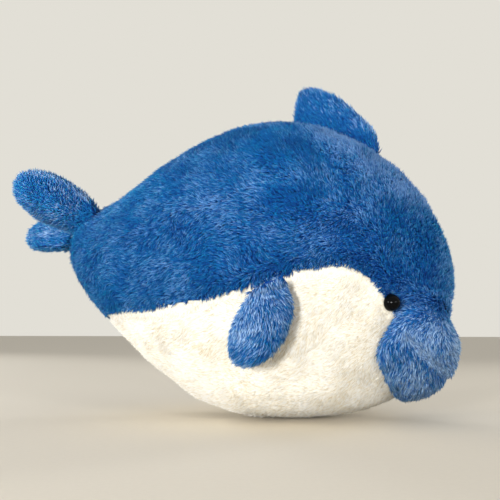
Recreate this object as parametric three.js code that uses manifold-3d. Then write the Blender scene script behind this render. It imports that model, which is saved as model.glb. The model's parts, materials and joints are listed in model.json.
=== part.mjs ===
// A stuffed plush dolphin lying on its belly. Two blue back panels and a cream belly panel are sewn round
// loose stuffing. The beak is sewn on the front, the eyes are locked through the cloth with washers, and the
// dorsal fin, flippers and tail flukes are small pillows that swing on the seams at their roots.
// Millimetres and degrees. +X is forward, +Y the toy's left, +Z up, and the belly rests on z = 0.
import * as THREE from "three";
import { mergeVertices } from "three/addons/utils/BufferGeometryUtils.js";
import loadManifold from "manifold-3d";

// Plush cloth: its outer face here is the line of the pile tips.
const PILE = 6;
const BACKING = 1.2;
const SEAM_GAP = 0.4;
const FILL_GAP = 0.3;
const ROOT_GAP = 0.5;

// Body, tail seam to brow.
const BODY_LENGTH = 316;
const BODY_HEIGHT = 236;
const BODY_WIDTH = 212;
const BELLY_FLAT = 0.5;
const BELLY_SQUARENESS = 2.4;
const BACK_SQUARENESS = 2;

// Body stations from the tail seam to the nose. Each has a point of the back line and of the belly line in
// side view, in shares of the length and the height, then its share of the width, and where the colour seam
// crosses it, from the belly line at 0 to the back line at 1.
const STATIONS = [
  { back: [0.084, 0.722], belly: [-0.008, 0.590], width: 0.16, seam: -0.6 },
  { back: [0.165, 0.757], belly: [0.042, 0.455], width: 0.40, seam: -0.3 },
  { back: [0.290, 0.870], belly: [0.147, 0.274], width: 0.70, seam: 0.12 },
  { back: [0.430, 0.964], belly: [0.305, 0.095], width: 0.91, seam: 0.30 },
  { back: [0.566, 1.000], belly: [0.465, 0.006], width: 1.00, seam: 0.39 },
  { back: [0.705, 0.960], belly: [0.643, 0.001], width: 0.96, seam: 0.48 },
  { back: [0.828, 0.865], belly: [0.759, 0.022], width: 0.80, seam: 0.50 },
  { back: [0.926, 0.728], belly: [0.836, 0.060], width: 0.58, seam: 0.34 },
  { back: [0.984, 0.547], belly: [0.900, 0.109], width: 0.41, seam: 0.22 },
  { back: [1.000, 0.400], belly: [0.952, 0.177], width: 0.26, seam: 0.20 },
];
const TAIL_ROUND = 16;
const NOSE_ROUND = 20;

// Beak: a fat snout on the lower front, pointing forward and down and narrowing towards its tip. The mouth
// seam lies above its middle.
const BEAK_LENGTH = 78;
const BEAK_WIDTH = 128;
const BEAK_TAPER = 66;
const BEAK_HEIGHT = 83;
const BEAK_SQUARENESS = 3;
const BEAK_DROP = 45;
const BEAK_STATION = 0.87;
const BEAK_LEVEL = 0.2;
const BEAK_OUT = -16;
const MOUTH_RISE = 4;

// Limbs: the shares of their length at which they reach full thickness, and are widest.
const LIMB_PLUMP = 0.45;
const LIMB_WIDEST = 0.55;

// Dorsal fin: half an ellipse, sheared towards the tail.
const FIN_BASE = 75;
const FIN_HEIGHT = 29;
const FIN_THICK = 21;
const FIN_SWEEP = 30;
const FIN_STATION = 0.49;
const FIN_SWING = 30;

// Flippers: leaves hanging from the colour seam.
const FLIPPER_LENGTH = 54;
const FLIPPER_WIDTH = 46;
const FLIPPER_ROOT = 25;
const FLIPPER_THICK = 21;
const FLIPPER_STATION = 0.5;
const FLIPPER_BACK = 25;
const FLIPPER_SWING = 70;

// Tail flukes: leaves splayed from the tail end, resting with the right one up and the left one down.
const FLUKE_LENGTH = 65;
const FLUKE_WIDTH = 50;
const FLUKE_ROOT = 42;
const FLUKE_THICK = 24;
const FLUKE_OUT = 14.5;
const FLUKE_IN = 6;
const FLUKE_LIFT = 22;
const RIGHT_FLUKE_UP = 6;
const RIGHT_FLUKE_SPLAY = 35;
const RIGHT_FLUKE_ROLL = 42;
const RIGHT_FLUKE_RAISE = 10;
const LEFT_FLUKE_UP = -1;
const LEFT_FLUKE_SPLAY = 11;
const LEFT_FLUKE_ROLL = 5;
const LEFT_FLUKE_RAISE = -25;
const FLUKE_SWING = 30;

// Eyes: a dome on a shank, with a lock washer behind the cloth.
const EYE_DIAMETER = 12;
const EYE_RISE = 7.5;
const EYE_SINK = 3.5;
const EYE_STATION = 0.738;
const EYE_ABOVE_SEAM = 0.03;
const SHANK_DIAMETER = 4.4;
const SHANK_END = 2;
const WASHER_DIAMETER = 14;
const WASHER_THICK = 2;
const EYE_GAP = 0.3;

// Facets round and along each form.
const BODY_FACETS = { rings: 19, sides: 24 };
const FILL_FACETS = { rings: 11, sides: 16 };
const BEAK_FACETS = { rings: 9, sides: 16 };
const LIMB_FACETS = { rings: 8, sides: 12 };
const LIMB_FILL_FACETS = { rings: 6, sides: 10 };
const EYE_FACETS = 14;
const DOME_STEPS = 6;
const SEAM_STEPS = 22;
const SWEEP_STEPS = 5;

// Fineness of measuring along the body, in shares of its length, and of merging corners.
const STATION_STEP = 0.002;
const SLOPE_STEP = 0.01;
const WELD = 1e-3;

const SKIN = PILE + BACKING;
const FILL_INSET = SKIN + FILL_GAP;
const FAR = 2 * (BODY_LENGTH + BODY_HEIGHT + BODY_WIDTH);
const UP = new THREE.Vector3(0, 0, 1);
const LEFT = new THREE.Vector3(0, 1, 0);
const FORWARD = new THREE.Vector3(1, 0, 0);
const { degToRad, lerp, smoothstep, clamp } = THREE.MathUtils;

const wasm = await loadManifold();
wasm.setup();

// Closed solids, joins and cuts

function weld(geometry) {
  const bare = geometry.clone();
  bare.deleteAttribute("normal");
  bare.deleteAttribute("uv");
  return mergeVertices(bare, WELD);
}

// A closed geometry as a solid. Triangles that shrank to a line at a pole or a pinched seam are left out.
function solid(geometry) {
  const welded = weld(geometry);
  const corners = [];
  for (let i = 0; i < welded.index.count; i += 3) {
    const [a, b, c] = [0, 1, 2].map((k) => welded.index.getX(i + k));
    if (a !== b && b !== c && c !== a) corners.push(a, b, c);
  }
  const vertProperties = new Float32Array(welded.attributes.position.array);
  return new wasm.Manifold(new wasm.Mesh({ numProp: 3, vertProperties, triVerts: new Uint32Array(corners) }));
}

function geometryOf(body) {
  const { vertProperties, triVerts } = body.getMesh();
  const geometry = new THREE.BufferGeometry();
  geometry.setAttribute("position", new THREE.BufferAttribute(vertProperties, 3));
  geometry.setIndex(new THREE.BufferAttribute(triVerts, 1));
  return geometry;
}

const cutAll = (body, cutters) => cutters.reduce((left, cutter) => left.subtract(cutter), body);

// A loft over surface(u, angle), u and the angle running from 0 to 1 and once round. Both ends close to a
// point or a line.
function loft(surface, { rings, sides }) {
  const points = [];
  const faces = [];
  for (let i = 0; i <= rings; i++) {
    for (let j = 0; j < sides; j++) points.push(surface(i / rings, ((j + 0.5) / sides) * 2 * Math.PI));
  }
  for (let i = 0; i < rings; i++) {
    for (let j = 0; j < sides; j++) {
      const [a, b] = [i * sides + j, i * sides + ((j + 1) % sides)];
      faces.push(a, b, a + sides, b, b + sides, a + sides);
    }
  }
  const geometry = new THREE.BufferGeometry().setFromPoints(points);
  geometry.setIndex(faces);
  return geometry;
}

// A block that fills one side of the plane through a point, for cutting.
function halfSpace(point, direction) {
  const turn = new THREE.Quaternion().setFromUnitVectors(UP, direction.clone().normalize());
  const block = new THREE.BoxGeometry(FAR, FAR, FAR).translate(0, 0, FAR / 2);
  return solid(block.applyQuaternion(turn).translate(point.x, point.y, point.z));
}

// Rises from 0 to 1 as a quarter circle does, over the first share of the way.
const roundIn = (way, share) => Math.sqrt(1 - (1 - clamp(way / share, 0, 1)) ** 2);

// A sine or cosine for a section that is rounder than a square: 2 makes an ellipse, more fills its corners.
const squared = (wave, squareness) => Math.sign(wave) * Math.abs(wave) ** (2 / squareness);

// Body form

const along = (share) => (share - 0.5) * BODY_LENGTH;
const sidePoint = ([x, z]) => new THREE.Vector3(along(x), 0, z * BODY_HEIGHT);
const backLine = new THREE.CatmullRomCurve3(STATIONS.map((s) => sidePoint(s.back)), false, "catmullrom");
const bellyLine = new THREE.CatmullRomCurve3(STATIONS.map((s) => sidePoint(s.belly)), false, "catmullrom");
const measures = new THREE.CatmullRomCurve3(
  STATIONS.map((s) => new THREE.Vector3((s.width * BODY_WIDTH) / 2, s.seam, 0)), false, "catmullrom");

// One section of the body: its middle, the way up across it, and its sizes.
function section(station) {
  const top = backLine.getPoint(station);
  const bottom = bellyLine.getPoint(station);
  const { x: halfWidth, y: seam } = measures.getPoint(station);
  const middle = top.clone().add(bottom).multiplyScalar(0.5);
  const up = top.clone().sub(bottom);
  return { middle, halfHeight: up.length() / 2, up: up.normalize(), halfWidth, seam };
}

// A point of the body, drawn in by inset. Angle 0 is the back, a quarter turn the right side.
function bodyPoint(station, angle, inset = 0) {
  const place = lerp(inset, BODY_LENGTH - inset, station);
  const held = clamp(place, 0, BODY_LENGTH);
  const { middle, halfHeight, up, halfWidth } = section(held / BODY_LENGTH);
  const ends = roundIn(station, TAIL_ROUND / BODY_LENGTH) * roundIn(1 - station, NOSE_ROUND / BODY_LENGTH);
  const squareness = Math.cos(angle) < 0 ? BELLY_SQUARENESS : BACK_SQUARENESS;
  const rise = squared(Math.cos(angle), squareness);
  const out = squared(Math.sin(angle), squareness);
  return middle
    .addScaledVector(FORWARD, place - held)
    .addScaledVector(up, rise * ends * (halfHeight - inset))
    .addScaledVector(LEFT, -out * ends * (halfWidth - inset));
}

// Rings crowd together towards the round ends.
const crowded = (u) => 0.5 - 0.5 * Math.cos(Math.PI * u);
const bodyForm = (inset, facets) => solid(loft((u, a) => bodyPoint(crowded(u), a, inset), facets));

// The angle at which the colour seam, or a line a little above it, crosses a section on the right side.
function seamAngle(station, above = 0) {
  const rise = 2 * (section(station).seam + above) - 1;
  const power = (rise < 0 ? BELLY_SQUARENESS : BACK_SQUARENESS) / 2;
  return Math.acos(Math.sign(rise) * Math.abs(rise) ** power);
}

// The outward direction of the body's surface.
function bodyNormal(station, angle) {
  const lengthwise = bodyPoint(station + SLOPE_STEP, angle).sub(bodyPoint(station - SLOPE_STEP, angle));
  const round = bodyPoint(station, angle + SLOPE_STEP).sub(bodyPoint(station, angle - SLOPE_STEP));
  return round.cross(lengthwise).normalize();
}

// Everything below the colour seam, moved up or down.
function belowSeam(raise) {
  const outline = new THREE.Shape([new THREE.Vector2(FAR, -FAR), new THREE.Vector2(-FAR, -FAR)]);
  for (let i = 0; i <= SEAM_STEPS; i++) {
    const { middle, halfHeight, up, seam } = section(i / SEAM_STEPS);
    const point = middle.addScaledVector(up, (2 * seam - 1) * halfHeight);
    outline.lineTo(point.x, point.z + raise);
  }
  outline.lineTo(FAR, outline.currentPoint.y);
  const prism = new THREE.ExtrudeGeometry(outline, { depth: FAR, bevelEnabled: false });
  return solid(prism.translate(0, 0, -FAR / 2).rotateX(Math.PI / 2));
}

// Limb form: a leaf shaped pillow, pinched flat at its root seam. Its root runs along x, its thickness along
// y and its length along z.
function leafPoint(leaf, way, angle, inset) {
  const { length, width, root, thick, widest = LIMB_WIDEST, sweep = 0 } = leaf;
  const full = width / 2 - inset;
  const narrow = root / 2 - inset;
  const past = clamp((way - widest) / (1 - widest), 0, 1);
  const halfChord = lerp(narrow, full, smoothstep(way, 0, widest)) * Math.sqrt(1 - past ** 2);
  const halfThick = (thick / 2 - inset) * roundIn(way, LIMB_PLUMP) * Math.sqrt(1 - past ** 3);
  const rise = lerp(inset, length - inset, way);
  return new THREE.Vector3(
    halfChord * Math.cos(angle) - (sweep * rise) / length, halfThick * Math.sin(angle), rise);
}

const crowdedTip = (u) => Math.sin((u * Math.PI) / 2);
const leafForm = (leaf, inset, facets, place) =>
  solid(loft((u, a) => leafPoint(leaf, crowdedTip(u), a, inset), facets).applyMatrix4(place));

// A limb of two covers and its stuffing, cut clear of the body at every angle of its swing. Its hinge runs
// along the root, and it rests turned by lean.
function limb({ leaf, root, chord, span, lean = 0, swing, clearOf }) {
  const thickness = span.clone().cross(chord).normalize();
  const basis = new THREE.Matrix4().makeBasis(chord, thickness, span).setPosition(root);
  const place = turnAbout(root, chord, lean).multiply(basis);
  const sweeps = [];
  for (const turn of swing) {
    const still = turnAbout(root, chord, -turn);
    sweeps.push(...clearOf.map((blocker) => solid(blocker.clone().applyMatrix4(still))));
  }
  const outer = cutAll(leafForm(leaf, 0, LIMB_FACETS, place), sweeps);
  const hollow = leafForm(leaf, SKIN, LIMB_FILL_FACETS, place);
  const stuffing = cutAll(leafForm(leaf, FILL_INSET, LIMB_FILL_FACETS, place), sweeps);
  const cloth = outer.subtract(hollow);
  const face = thickness.clone().applyAxisAngle(chord, degToRad(lean));
  const edge = face.clone().multiplyScalar(SEAM_GAP / 2);
  return {
    front: cloth.intersect(halfSpace(root.clone().add(edge), face)),
    back: cloth.intersect(halfSpace(root.clone().sub(edge), face.clone().negate())),
    stuffing,
    hinge: { point: root, axis: chord },
  };
}

function turnAbout(point, axis, degrees) {
  const turn = new THREE.Matrix4().makeRotationAxis(axis, degToRad(degrees));
  const there = new THREE.Matrix4().makeTranslation(point);
  return there.multiply(turn).multiply(new THREE.Matrix4().makeTranslation(point.clone().negate()));
}

const mirrored = (vector) => new THREE.Vector3(vector.x, -vector.y, vector.z);

// Evenly spaced angles over a swing.
const steps = (from, to, count) => Array.from({ length: count }, (_, i) => lerp(from, to, i / (count - 1)));

// The body as the limbs and the beak keep clear of it.
const bodyRoom = geometryOf(bodyForm(-ROOT_GAP, BODY_FACETS));
const bodyBlocker = solid(bodyRoom);

// Dorsal fin

const finRear = bodyPoint(FIN_STATION, 0);
let finFrontStation = FIN_STATION;
while (bodyPoint(finFrontStation, 0).distanceTo(finRear) < FIN_BASE) finFrontStation += STATION_STEP;
const finFront = bodyPoint(finFrontStation, 0);
const finChord = finFront.clone().sub(finRear).normalize();
const dorsalFin = limb({
  leaf: {
    length: FIN_HEIGHT, width: FIN_BASE, root: FIN_BASE, thick: FIN_THICK, widest: 0, sweep: FIN_SWEEP,
  },
  root: finRear.clone().add(finFront).multiplyScalar(0.5),
  chord: finChord,
  span: finChord.clone().cross(LEFT),
  swing: steps(-FIN_SWING, FIN_SWING, SWEEP_STEPS),
  clearOf: [bodyRoom],
});

// Flippers

function flipper(side) {
  const angle = seamAngle(FLIPPER_STATION);
  const out = bodyNormal(FLIPPER_STATION, angle);
  const ahead = FLIPPER_STATION + SLOPE_STEP;
  const seamAhead = bodyPoint(ahead, seamAngle(ahead));
  const seat = bodyPoint(FLIPPER_STATION, angle).addScaledVector(out, ROOT_GAP);
  const chord = seamAhead.sub(bodyPoint(FLIPPER_STATION, angle)).projectOnPlane(out).normalize();
  const down = chord.clone().cross(out).normalize();
  if (down.z > 0) down.negate();
  const leaf = {
    length: FLIPPER_LENGTH, width: FLIPPER_WIDTH, root: FLIPPER_ROOT, thick: FLIPPER_THICK,
    sweep: Math.tan(degToRad(FLIPPER_BACK)) * FLIPPER_LENGTH,
  };
  const outward = side < 0 ? -1 : 1;
  return limb({
    leaf,
    root: side < 0 ? seat : mirrored(seat),
    chord: side < 0 ? chord : mirrored(chord),
    span: side < 0 ? down : mirrored(down),
    swing: steps(0, outward * FLIPPER_SWING, SWEEP_STEPS),
    clearOf: [bodyRoom],
  });
}

// Tail flukes

function fluke(side) {
  const end = bodyPoint(0, 0);
  const back = new THREE.Vector3(-Math.cos(degToRad(FLUKE_LIFT)), 0, Math.sin(degToRad(FLUKE_LIFT)));
  const out = LEFT.clone().multiplyScalar(side);
  const splay = degToRad(side < 0 ? RIGHT_FLUKE_SPLAY : LEFT_FLUKE_SPLAY);
  const span = back.clone().multiplyScalar(Math.cos(splay)).addScaledVector(out, Math.sin(splay));
  const level = back.clone().multiplyScalar(-Math.sin(splay)).addScaledVector(out, Math.cos(splay));
  const lift = new THREE.Vector3(back.z, 0, -back.x);
  const roll = degToRad(side < 0 ? RIGHT_FLUKE_ROLL : LEFT_FLUKE_ROLL);
  const chord = level.multiplyScalar(Math.cos(roll)).addScaledVector(lift, Math.sin(roll));
  const otherSide = new THREE.BoxGeometry(FAR, FAR, FAR).translate(0, -side * (FAR / 2 - ROOT_GAP / 2), 0);
  return limb({
    leaf: { length: FLUKE_LENGTH, width: FLUKE_WIDTH, root: FLUKE_ROOT, thick: FLUKE_THICK },
    root: end
      .addScaledVector(out, FLUKE_OUT)
      .addScaledVector(lift, side < 0 ? RIGHT_FLUKE_UP : LEFT_FLUKE_UP)
      .addScaledVector(back, -FLUKE_IN),
    chord,
    span,
    lean: side < 0 ? -RIGHT_FLUKE_RAISE : LEFT_FLUKE_RAISE,
    swing: steps(-FLUKE_SWING, FLUKE_SWING, SWEEP_STEPS),
    clearOf: [bodyRoom, otherSide],
  });
}

// Eyes and washers, turned about the outward direction of the body where they sit.

function eyePlace(side) {
  const angle = seamAngle(EYE_STATION, EYE_ABOVE_SEAM);
  const seat = bodyPoint(EYE_STATION, angle);
  const out = bodyNormal(EYE_STATION, angle);
  const turn = new THREE.Quaternion().setFromUnitVectors(UP, side < 0 ? out : mirrored(out));
  return new THREE.Matrix4().makeRotationFromQuaternion(turn).setPosition(side < 0 ? seat : mirrored(seat));
}

const turned = (profile, place) =>
  solid(new THREE.LatheGeometry(profile.map(([r, z]) => new THREE.Vector2(r, z)), EYE_FACETS)
    .rotateX(Math.PI / 2).applyMatrix4(place));

const washerTop = -SKIN - EYE_GAP;
const washerBottom = washerTop - WASHER_THICK;
const shankEnd = washerBottom - SHANK_END;

function eye(place, gap = 0) {
  const radius = EYE_DIAMETER / 2 + gap;
  const dome = steps(0, Math.PI / 2, DOME_STEPS).map((turn) => [
    radius * Math.cos(turn), EYE_RISE * Math.sin(turn) - EYE_SINK + gap]);
  const shank = SHANK_DIAMETER / 2 + gap;
  const foot = [[0, shankEnd - gap], [shank, shankEnd - gap], [shank, -EYE_SINK - gap]];
  dome[dome.length - 1][0] = 0;
  return turned([...foot, [radius, -EYE_SINK - gap], ...dome], place);
}

function washer(place, gap = 0) {
  const bore = SHANK_DIAMETER / 2 + EYE_GAP - gap;
  const rim = WASHER_DIAMETER / 2 + gap;
  const [low, high] = [washerBottom - gap, washerTop + gap];
  return turned([[bore, low], [rim, low], [rim, high], [bore, high], [bore, low]], place);
}

const eyePlaces = { right: eyePlace(-1), left: eyePlace(1) };
const eyeRoom = Object.values(eyePlaces).flatMap((place) => [eye(place, EYE_GAP), washer(place, EYE_GAP)]);

// Body covers and stuffing

const bodyOuter = bodyForm(0, BODY_FACETS);
const floor = bodyOuter.boundingBox().min[2] + BELLY_FLAT;
const aboveFloor = halfSpace(new THREE.Vector3(0, 0, floor), UP);
const bodyCloth = cutAll(
  bodyOuter.intersect(aboveFloor).subtract(bodyForm(SKIN, FILL_FACETS)), eyeRoom);
const backCloth = bodyCloth.subtract(belowSeam(SEAM_GAP / 2));
const sideOf = (side) =>
  halfSpace(new THREE.Vector3(0, (side * SEAM_GAP) / 2, 0), LEFT.clone().multiplyScalar(side));
const bodyStuffing = cutAll(bodyForm(FILL_INSET, FILL_FACETS), eyeRoom);

// Beak

const beakDown = degToRad(BEAK_DROP);
const beakAxis = new THREE.Vector3(Math.cos(beakDown), 0, -Math.sin(beakDown));
const beakUp = LEFT.clone().cross(beakAxis).negate();
const beakMiddle = bellyLine.getPoint(BEAK_STATION)
  .lerp(backLine.getPoint(BEAK_STATION), BEAK_LEVEL)
  .addScaledVector(beakAxis, BEAK_OUT);
const beakPlace = new THREE.Matrix4().makeBasis(LEFT, beakUp, beakAxis).setPosition(beakMiddle);

function beakForm(inset) {
  const snout = (u, angle) => {
    const way = -Math.cos(u * Math.PI);
    const girth = Math.sin(u * Math.PI);
    const halfWidth = (BEAK_WIDTH - BEAK_TAPER * way) / 2 - inset;
    return new THREE.Vector3(
      squared(Math.cos(angle), BEAK_SQUARENESS) * squared(girth, BEAK_SQUARENESS) * halfWidth,
      squared(Math.sin(angle), BEAK_SQUARENESS) * girth * (BEAK_HEIGHT / 2 - inset),
      way * (BEAK_LENGTH / 2 - inset));
  };
  return solid(loft(snout, BEAK_FACETS).applyMatrix4(beakPlace));
}

const beakRoom = [bodyBlocker, ...eyeRoom];
const beakCloth = cutAll(beakForm(0).intersect(aboveFloor), [...beakRoom, beakForm(SKIN)]);
const [beakStuffing] = cutAll(beakForm(FILL_INSET), beakRoom)
  .decompose().sort((one, other) => other.volume() - one.volume());
const mouth = beakMiddle.clone().addScaledVector(beakUp, MOUTH_RISE);
function mouthSide(side) {
  const edge = mouth.clone().addScaledVector(beakUp, (side * SEAM_GAP) / 2);
  return halfSpace(edge, beakUp.clone().multiplyScalar(side));
}

// Assembly

const BLUE_PLUSH = { color: "#3f7cc9", roughness: 0.95, metalness: 0 };
const CREAM_PLUSH = { color: "#f3ecdc", roughness: 0.95, metalness: 0 };
const FIBRE = { color: "#f7f6f2", roughness: 1, metalness: 0 };
const BLACK_EYE = { color: "#0b0b0d", roughness: 0.12, metalness: 0 };
const CLEAR_WASHER = { color: "#dcdcd6", roughness: 0.4, metalness: 0 };

const dolphin = new THREE.Group();

function add(group, name, body, finish) {
  const geometry = geometryOf(body).translate(...group.position.clone().negate().toArray());
  const mesh = new THREE.Mesh(geometry, new THREE.MeshStandardMaterial(finish));
  mesh.name = name;
  group.add(mesh);
}

// A limb hangs in a group of its own, with its origin on its hinge.
function addLimb(name, { front, back, stuffing, hinge }, frontName, backName) {
  const group = new THREE.Group();
  group.name = name;
  group.position.copy(hinge.point);
  group.userData.hinge = { axis: hinge.axis.toArray() };
  add(group, `${name}_${frontName}`, front, BLUE_PLUSH);
  add(group, `${name}_${backName}`, back, BLUE_PLUSH);
  add(group, `${name}_stuffing`, stuffing, FIBRE);
  dolphin.add(group);
}

add(dolphin, "back_panel_right", backCloth.intersect(sideOf(-1)), BLUE_PLUSH);
add(dolphin, "back_panel_left", backCloth.intersect(sideOf(1)), BLUE_PLUSH);
add(dolphin, "belly_panel", bodyCloth.intersect(belowSeam(-SEAM_GAP / 2)), CREAM_PLUSH);
add(dolphin, "body_stuffing", bodyStuffing, FIBRE);
add(dolphin, "upper_beak_cover", beakCloth.intersect(mouthSide(1)), BLUE_PLUSH);
add(dolphin, "lower_beak_cover", beakCloth.intersect(mouthSide(-1)), BLUE_PLUSH);
add(dolphin, "beak_stuffing", beakStuffing, FIBRE);
for (const [name, place] of Object.entries(eyePlaces)) {
  add(dolphin, `${name}_eye`, eye(place), BLACK_EYE);
  add(dolphin, `${name}_eye_washer`, washer(place), CLEAR_WASHER);
}
addLimb("dorsal_fin", dorsalFin, "left_cover", "right_cover");
addLimb("right_flipper", flipper(-1), "outer_cover", "inner_cover");
addLimb("left_flipper", flipper(1), "inner_cover", "outer_cover");
addLimb("right_fluke", fluke(-1), "top_cover", "under_cover");
addLimb("left_fluke", fluke(1), "under_cover", "top_cover");

// The toy stands with its origin on the floor, under the middle of its outline.
const outline = new THREE.Box3().setFromObject(dolphin);
const middle = outline.getCenter(new THREE.Vector3());
dolphin.position.set(-middle.x, -middle.y, -outline.min.z);

export default dolphin;
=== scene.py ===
"""Dresses the frame of a plush dolphin: stuffed cloth, a combed pile, domed eyes and a plain stage."""

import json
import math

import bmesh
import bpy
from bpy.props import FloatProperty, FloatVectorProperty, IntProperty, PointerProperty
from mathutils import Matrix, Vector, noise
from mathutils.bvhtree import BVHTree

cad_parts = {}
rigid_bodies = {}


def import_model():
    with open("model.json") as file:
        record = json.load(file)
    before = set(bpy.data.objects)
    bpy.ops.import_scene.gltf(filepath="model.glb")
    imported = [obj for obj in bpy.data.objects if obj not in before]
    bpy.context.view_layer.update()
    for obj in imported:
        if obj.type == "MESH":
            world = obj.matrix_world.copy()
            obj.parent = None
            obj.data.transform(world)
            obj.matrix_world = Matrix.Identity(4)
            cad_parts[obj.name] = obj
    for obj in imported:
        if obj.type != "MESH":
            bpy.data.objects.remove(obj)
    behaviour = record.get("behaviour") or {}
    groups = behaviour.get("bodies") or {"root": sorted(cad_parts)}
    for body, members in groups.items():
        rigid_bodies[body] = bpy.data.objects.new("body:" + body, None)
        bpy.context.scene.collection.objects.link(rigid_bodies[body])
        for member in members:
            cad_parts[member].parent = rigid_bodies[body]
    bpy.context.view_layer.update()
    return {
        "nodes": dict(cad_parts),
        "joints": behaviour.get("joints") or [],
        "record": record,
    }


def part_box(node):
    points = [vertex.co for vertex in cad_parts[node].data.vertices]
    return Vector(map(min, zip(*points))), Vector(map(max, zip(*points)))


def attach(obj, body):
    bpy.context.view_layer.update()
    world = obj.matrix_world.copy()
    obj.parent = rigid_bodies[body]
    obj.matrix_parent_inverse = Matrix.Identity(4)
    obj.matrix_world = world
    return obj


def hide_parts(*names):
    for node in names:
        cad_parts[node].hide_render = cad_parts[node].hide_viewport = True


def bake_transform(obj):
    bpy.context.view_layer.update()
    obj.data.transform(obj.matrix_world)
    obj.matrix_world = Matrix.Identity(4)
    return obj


bl_info = {
    "name": "Plush dolphin",
    "version": (1, 0, 0),
    "blender": (4, 5, 0),
    "location": "View3D > Sidebar > Dolphin",
    "description": "Makes the stuffed cloth, pile, eyes and stage of a plush dolphin around its frame",
    "category": "Add Mesh",
}

# A start-up file's own objects would count as pieces.
for leftover in list(bpy.data.objects):
    bpy.data.objects.remove(leftover)

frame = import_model()

MM = 0.001
PER_SQUARE_MM = 1e6

# The sewn panels of the body, and the nodes that they stand for.
PANELS = {"back_right": "back_panel_right", "back_left": "back_panel_left", "belly": "belly_panel"}
BEAK_HALVES = ("upper_beak_cover", "lower_beak_cover")
EYES = ("right_eye", "left_eye")
JOINTS = {joint["child"]: joint for joint in frame["joints"]}
LIMBS = {body: nodes for body, nodes in frame["record"]["behaviour"]["bodies"].items() if body in JOINTS}

# What each point of a skin tells the pile that grows on it.
SKIN_FIELDS = {
    "lay": "FLOAT_VECTOR",
    "comb": "FLOAT_VECTOR",
    "pile_length": "FLOAT",
    "shade": "FLOAT",
    "density": "FLOAT",
}
# The pile's own map, with a lock's tone across it and the way from root to tip along it.
PILE_MAP = "OFBake"

# Below, a pair of sizes is where a change starts and where it is complete: a height, a place along the body,
# or a distance from what the name says.

# Slack cloth. A pull in and a slightly larger push out smooth its facets and keep its size.
MERGE_REACH = 0.01 * MM
SMOOTH_FACTORS = (0.5, -0.52)
BODY_ROUNDS = 40
BEAK_ROUNDS = 20
LIMB_ROUNDS = 8
STUFF_FRAMES = 20
FILLING_GAP = 0.4 * MM

# Where the body's cloth is drawn up at an eye, firm under the belly and at the tail, and full over the beak.
EYE_DRAW = (9 * MM, 24 * MM)
BELLY_FIRM = (6 * MM, 30 * MM)
TAIL_FIRM = (-120 * MM, -88 * MM)
CREASE_WIDTH = (0, 13 * MM)
CREASE_HEIGHT = (66 * MM, 80 * MM)
CREASE_EYE = (9 * MM, 16 * MM)
HEAD_SIDE = (15 * MM, 42 * MM)

# Locks lean this far from upright where they lie flat, and this much less where they stand.
LEAN_FLAT = 70
LEAN_RISE = 45

# Smooth random changes of the pile: how strong each wave is, how wide its patches are, and its seed.
CHANGES = {
    "back_swirl": ((1.6, 34 * MM, 1), (1.1, 13 * MM, 14)),
    "back_deep": ((0.5, 24 * MM, 2),),
    "back_stand": ((0.3, 22 * MM, 3),),
    "back_shade": ((0.28, 20 * MM, 4),),
    "fin_painted_light": ((0.5, 14 * MM, 17),),
    "belly_swirl": ((1.2, 30 * MM, 5), (0.8, 13 * MM, 15)),
    "belly_stand": ((0.2, 22 * MM, 6),),
    "belly_shade": ((0.15, 24 * MM, 7),),
    "beak_swirl": ((0.8, 26 * MM, 8), (0.6, 11 * MM, 16)),
    "beak_stand": ((0.3, 22 * MM, 9),),
    "beak_shade": ((0.2, 20 * MM, 10),),
    "limb_swirl": ((0.55, 20 * MM, 11),),
    "limb_stand": ((0.25, 18 * MM, 12),),
    "limb_shade": ((0.22, 18 * MM, 13),),
}
NOISE_STEPS = (17.3, 5.1, 11.7)

# The way the blue pile is stroked: how far it rises over the back and face and falls at the rear, and where.
TOP_RISE = 0.7
REAR_FALL = 0.6
FACE_RISE = 1.2
FLOW_TOP = (150 * MM, 225 * MM)
FLOW_REAR = (-70 * MM, 60 * MM)
FLOW_LOW = (110 * MM, 165 * MM)
FLOW_FACE = (95 * MM, 150 * MM)
DOWN = Vector((0.0, 0.0, -1.0))

# The patches where the blue pile stands up and is painted darker, as the painted shade between upright
# fibres:
# place along and up the body, and radius.
DEEP_PATCHES = [
    (25 * MM, 106 * MM, 26 * MM),
    (61 * MM, 190 * MM, 30 * MM),
    (69 * MM, 150 * MM, 22 * MM),
    (143 * MM, 128 * MM, 32 * MM),
    (153 * MM, 96 * MM, 20 * MM),
]
DEEP_EDGE = (-0.3, 0.8)
# Places that change the blue pile: the top and the rear, painted darker as painted shade, the fringe along
# the white, the brow over the beak, whose sides are painted paler as painted light in the crease, the band
# round the fin, painted paler as a painted light band, and the locks that hang over a flipper.
TOP_PAINTED_SHADE = (160 * MM, 235 * MM)
REAR_PAINTED_SHADE = (-107 * MM, 43 * MM)
BLUE_FRINGE = (2 * MM, 10 * MM)
BEAK_GLOW = (4 * MM, 16 * MM)
BROW_WIDTH = (2 * MM, 20 * MM)
BROW_HEIGHT = (62 * MM, 74 * MM)
FIN_PAINTED_LIGHT = (30 * MM, 85 * MM)
HANG_WIDTH = (4 * MM, 13 * MM)
# How much each place changes the pile's shade, stand and size, takes from its swirl, and turns its flow.
# In the shade, top, rear and deep are painted shade, and brow_side and fin are painted light.
BACK_SHADE = {
    "plain": 0.5, "deep": -0.2, "rear": -0.1, "top": -0.34,
    "beak": 0.12, "brow_side": 0.1, "fin": 0.5, "hang": 0.12}
BACK_STAND = {"plain": 0.6, "deep": 0.1, "brow": -0.3, "hang": -0.4}
BACK_SIZE = {"plain": 1.0, "fringe": -0.2, "hang": 0.45}
BACK_CALM = {"fringe": 0.6, "brow": 0.6, "hang": 0.7}
BACK_TURN = {"fringe": 0.7, "brow_side": 0.9, "hang": 0.8}

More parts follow.
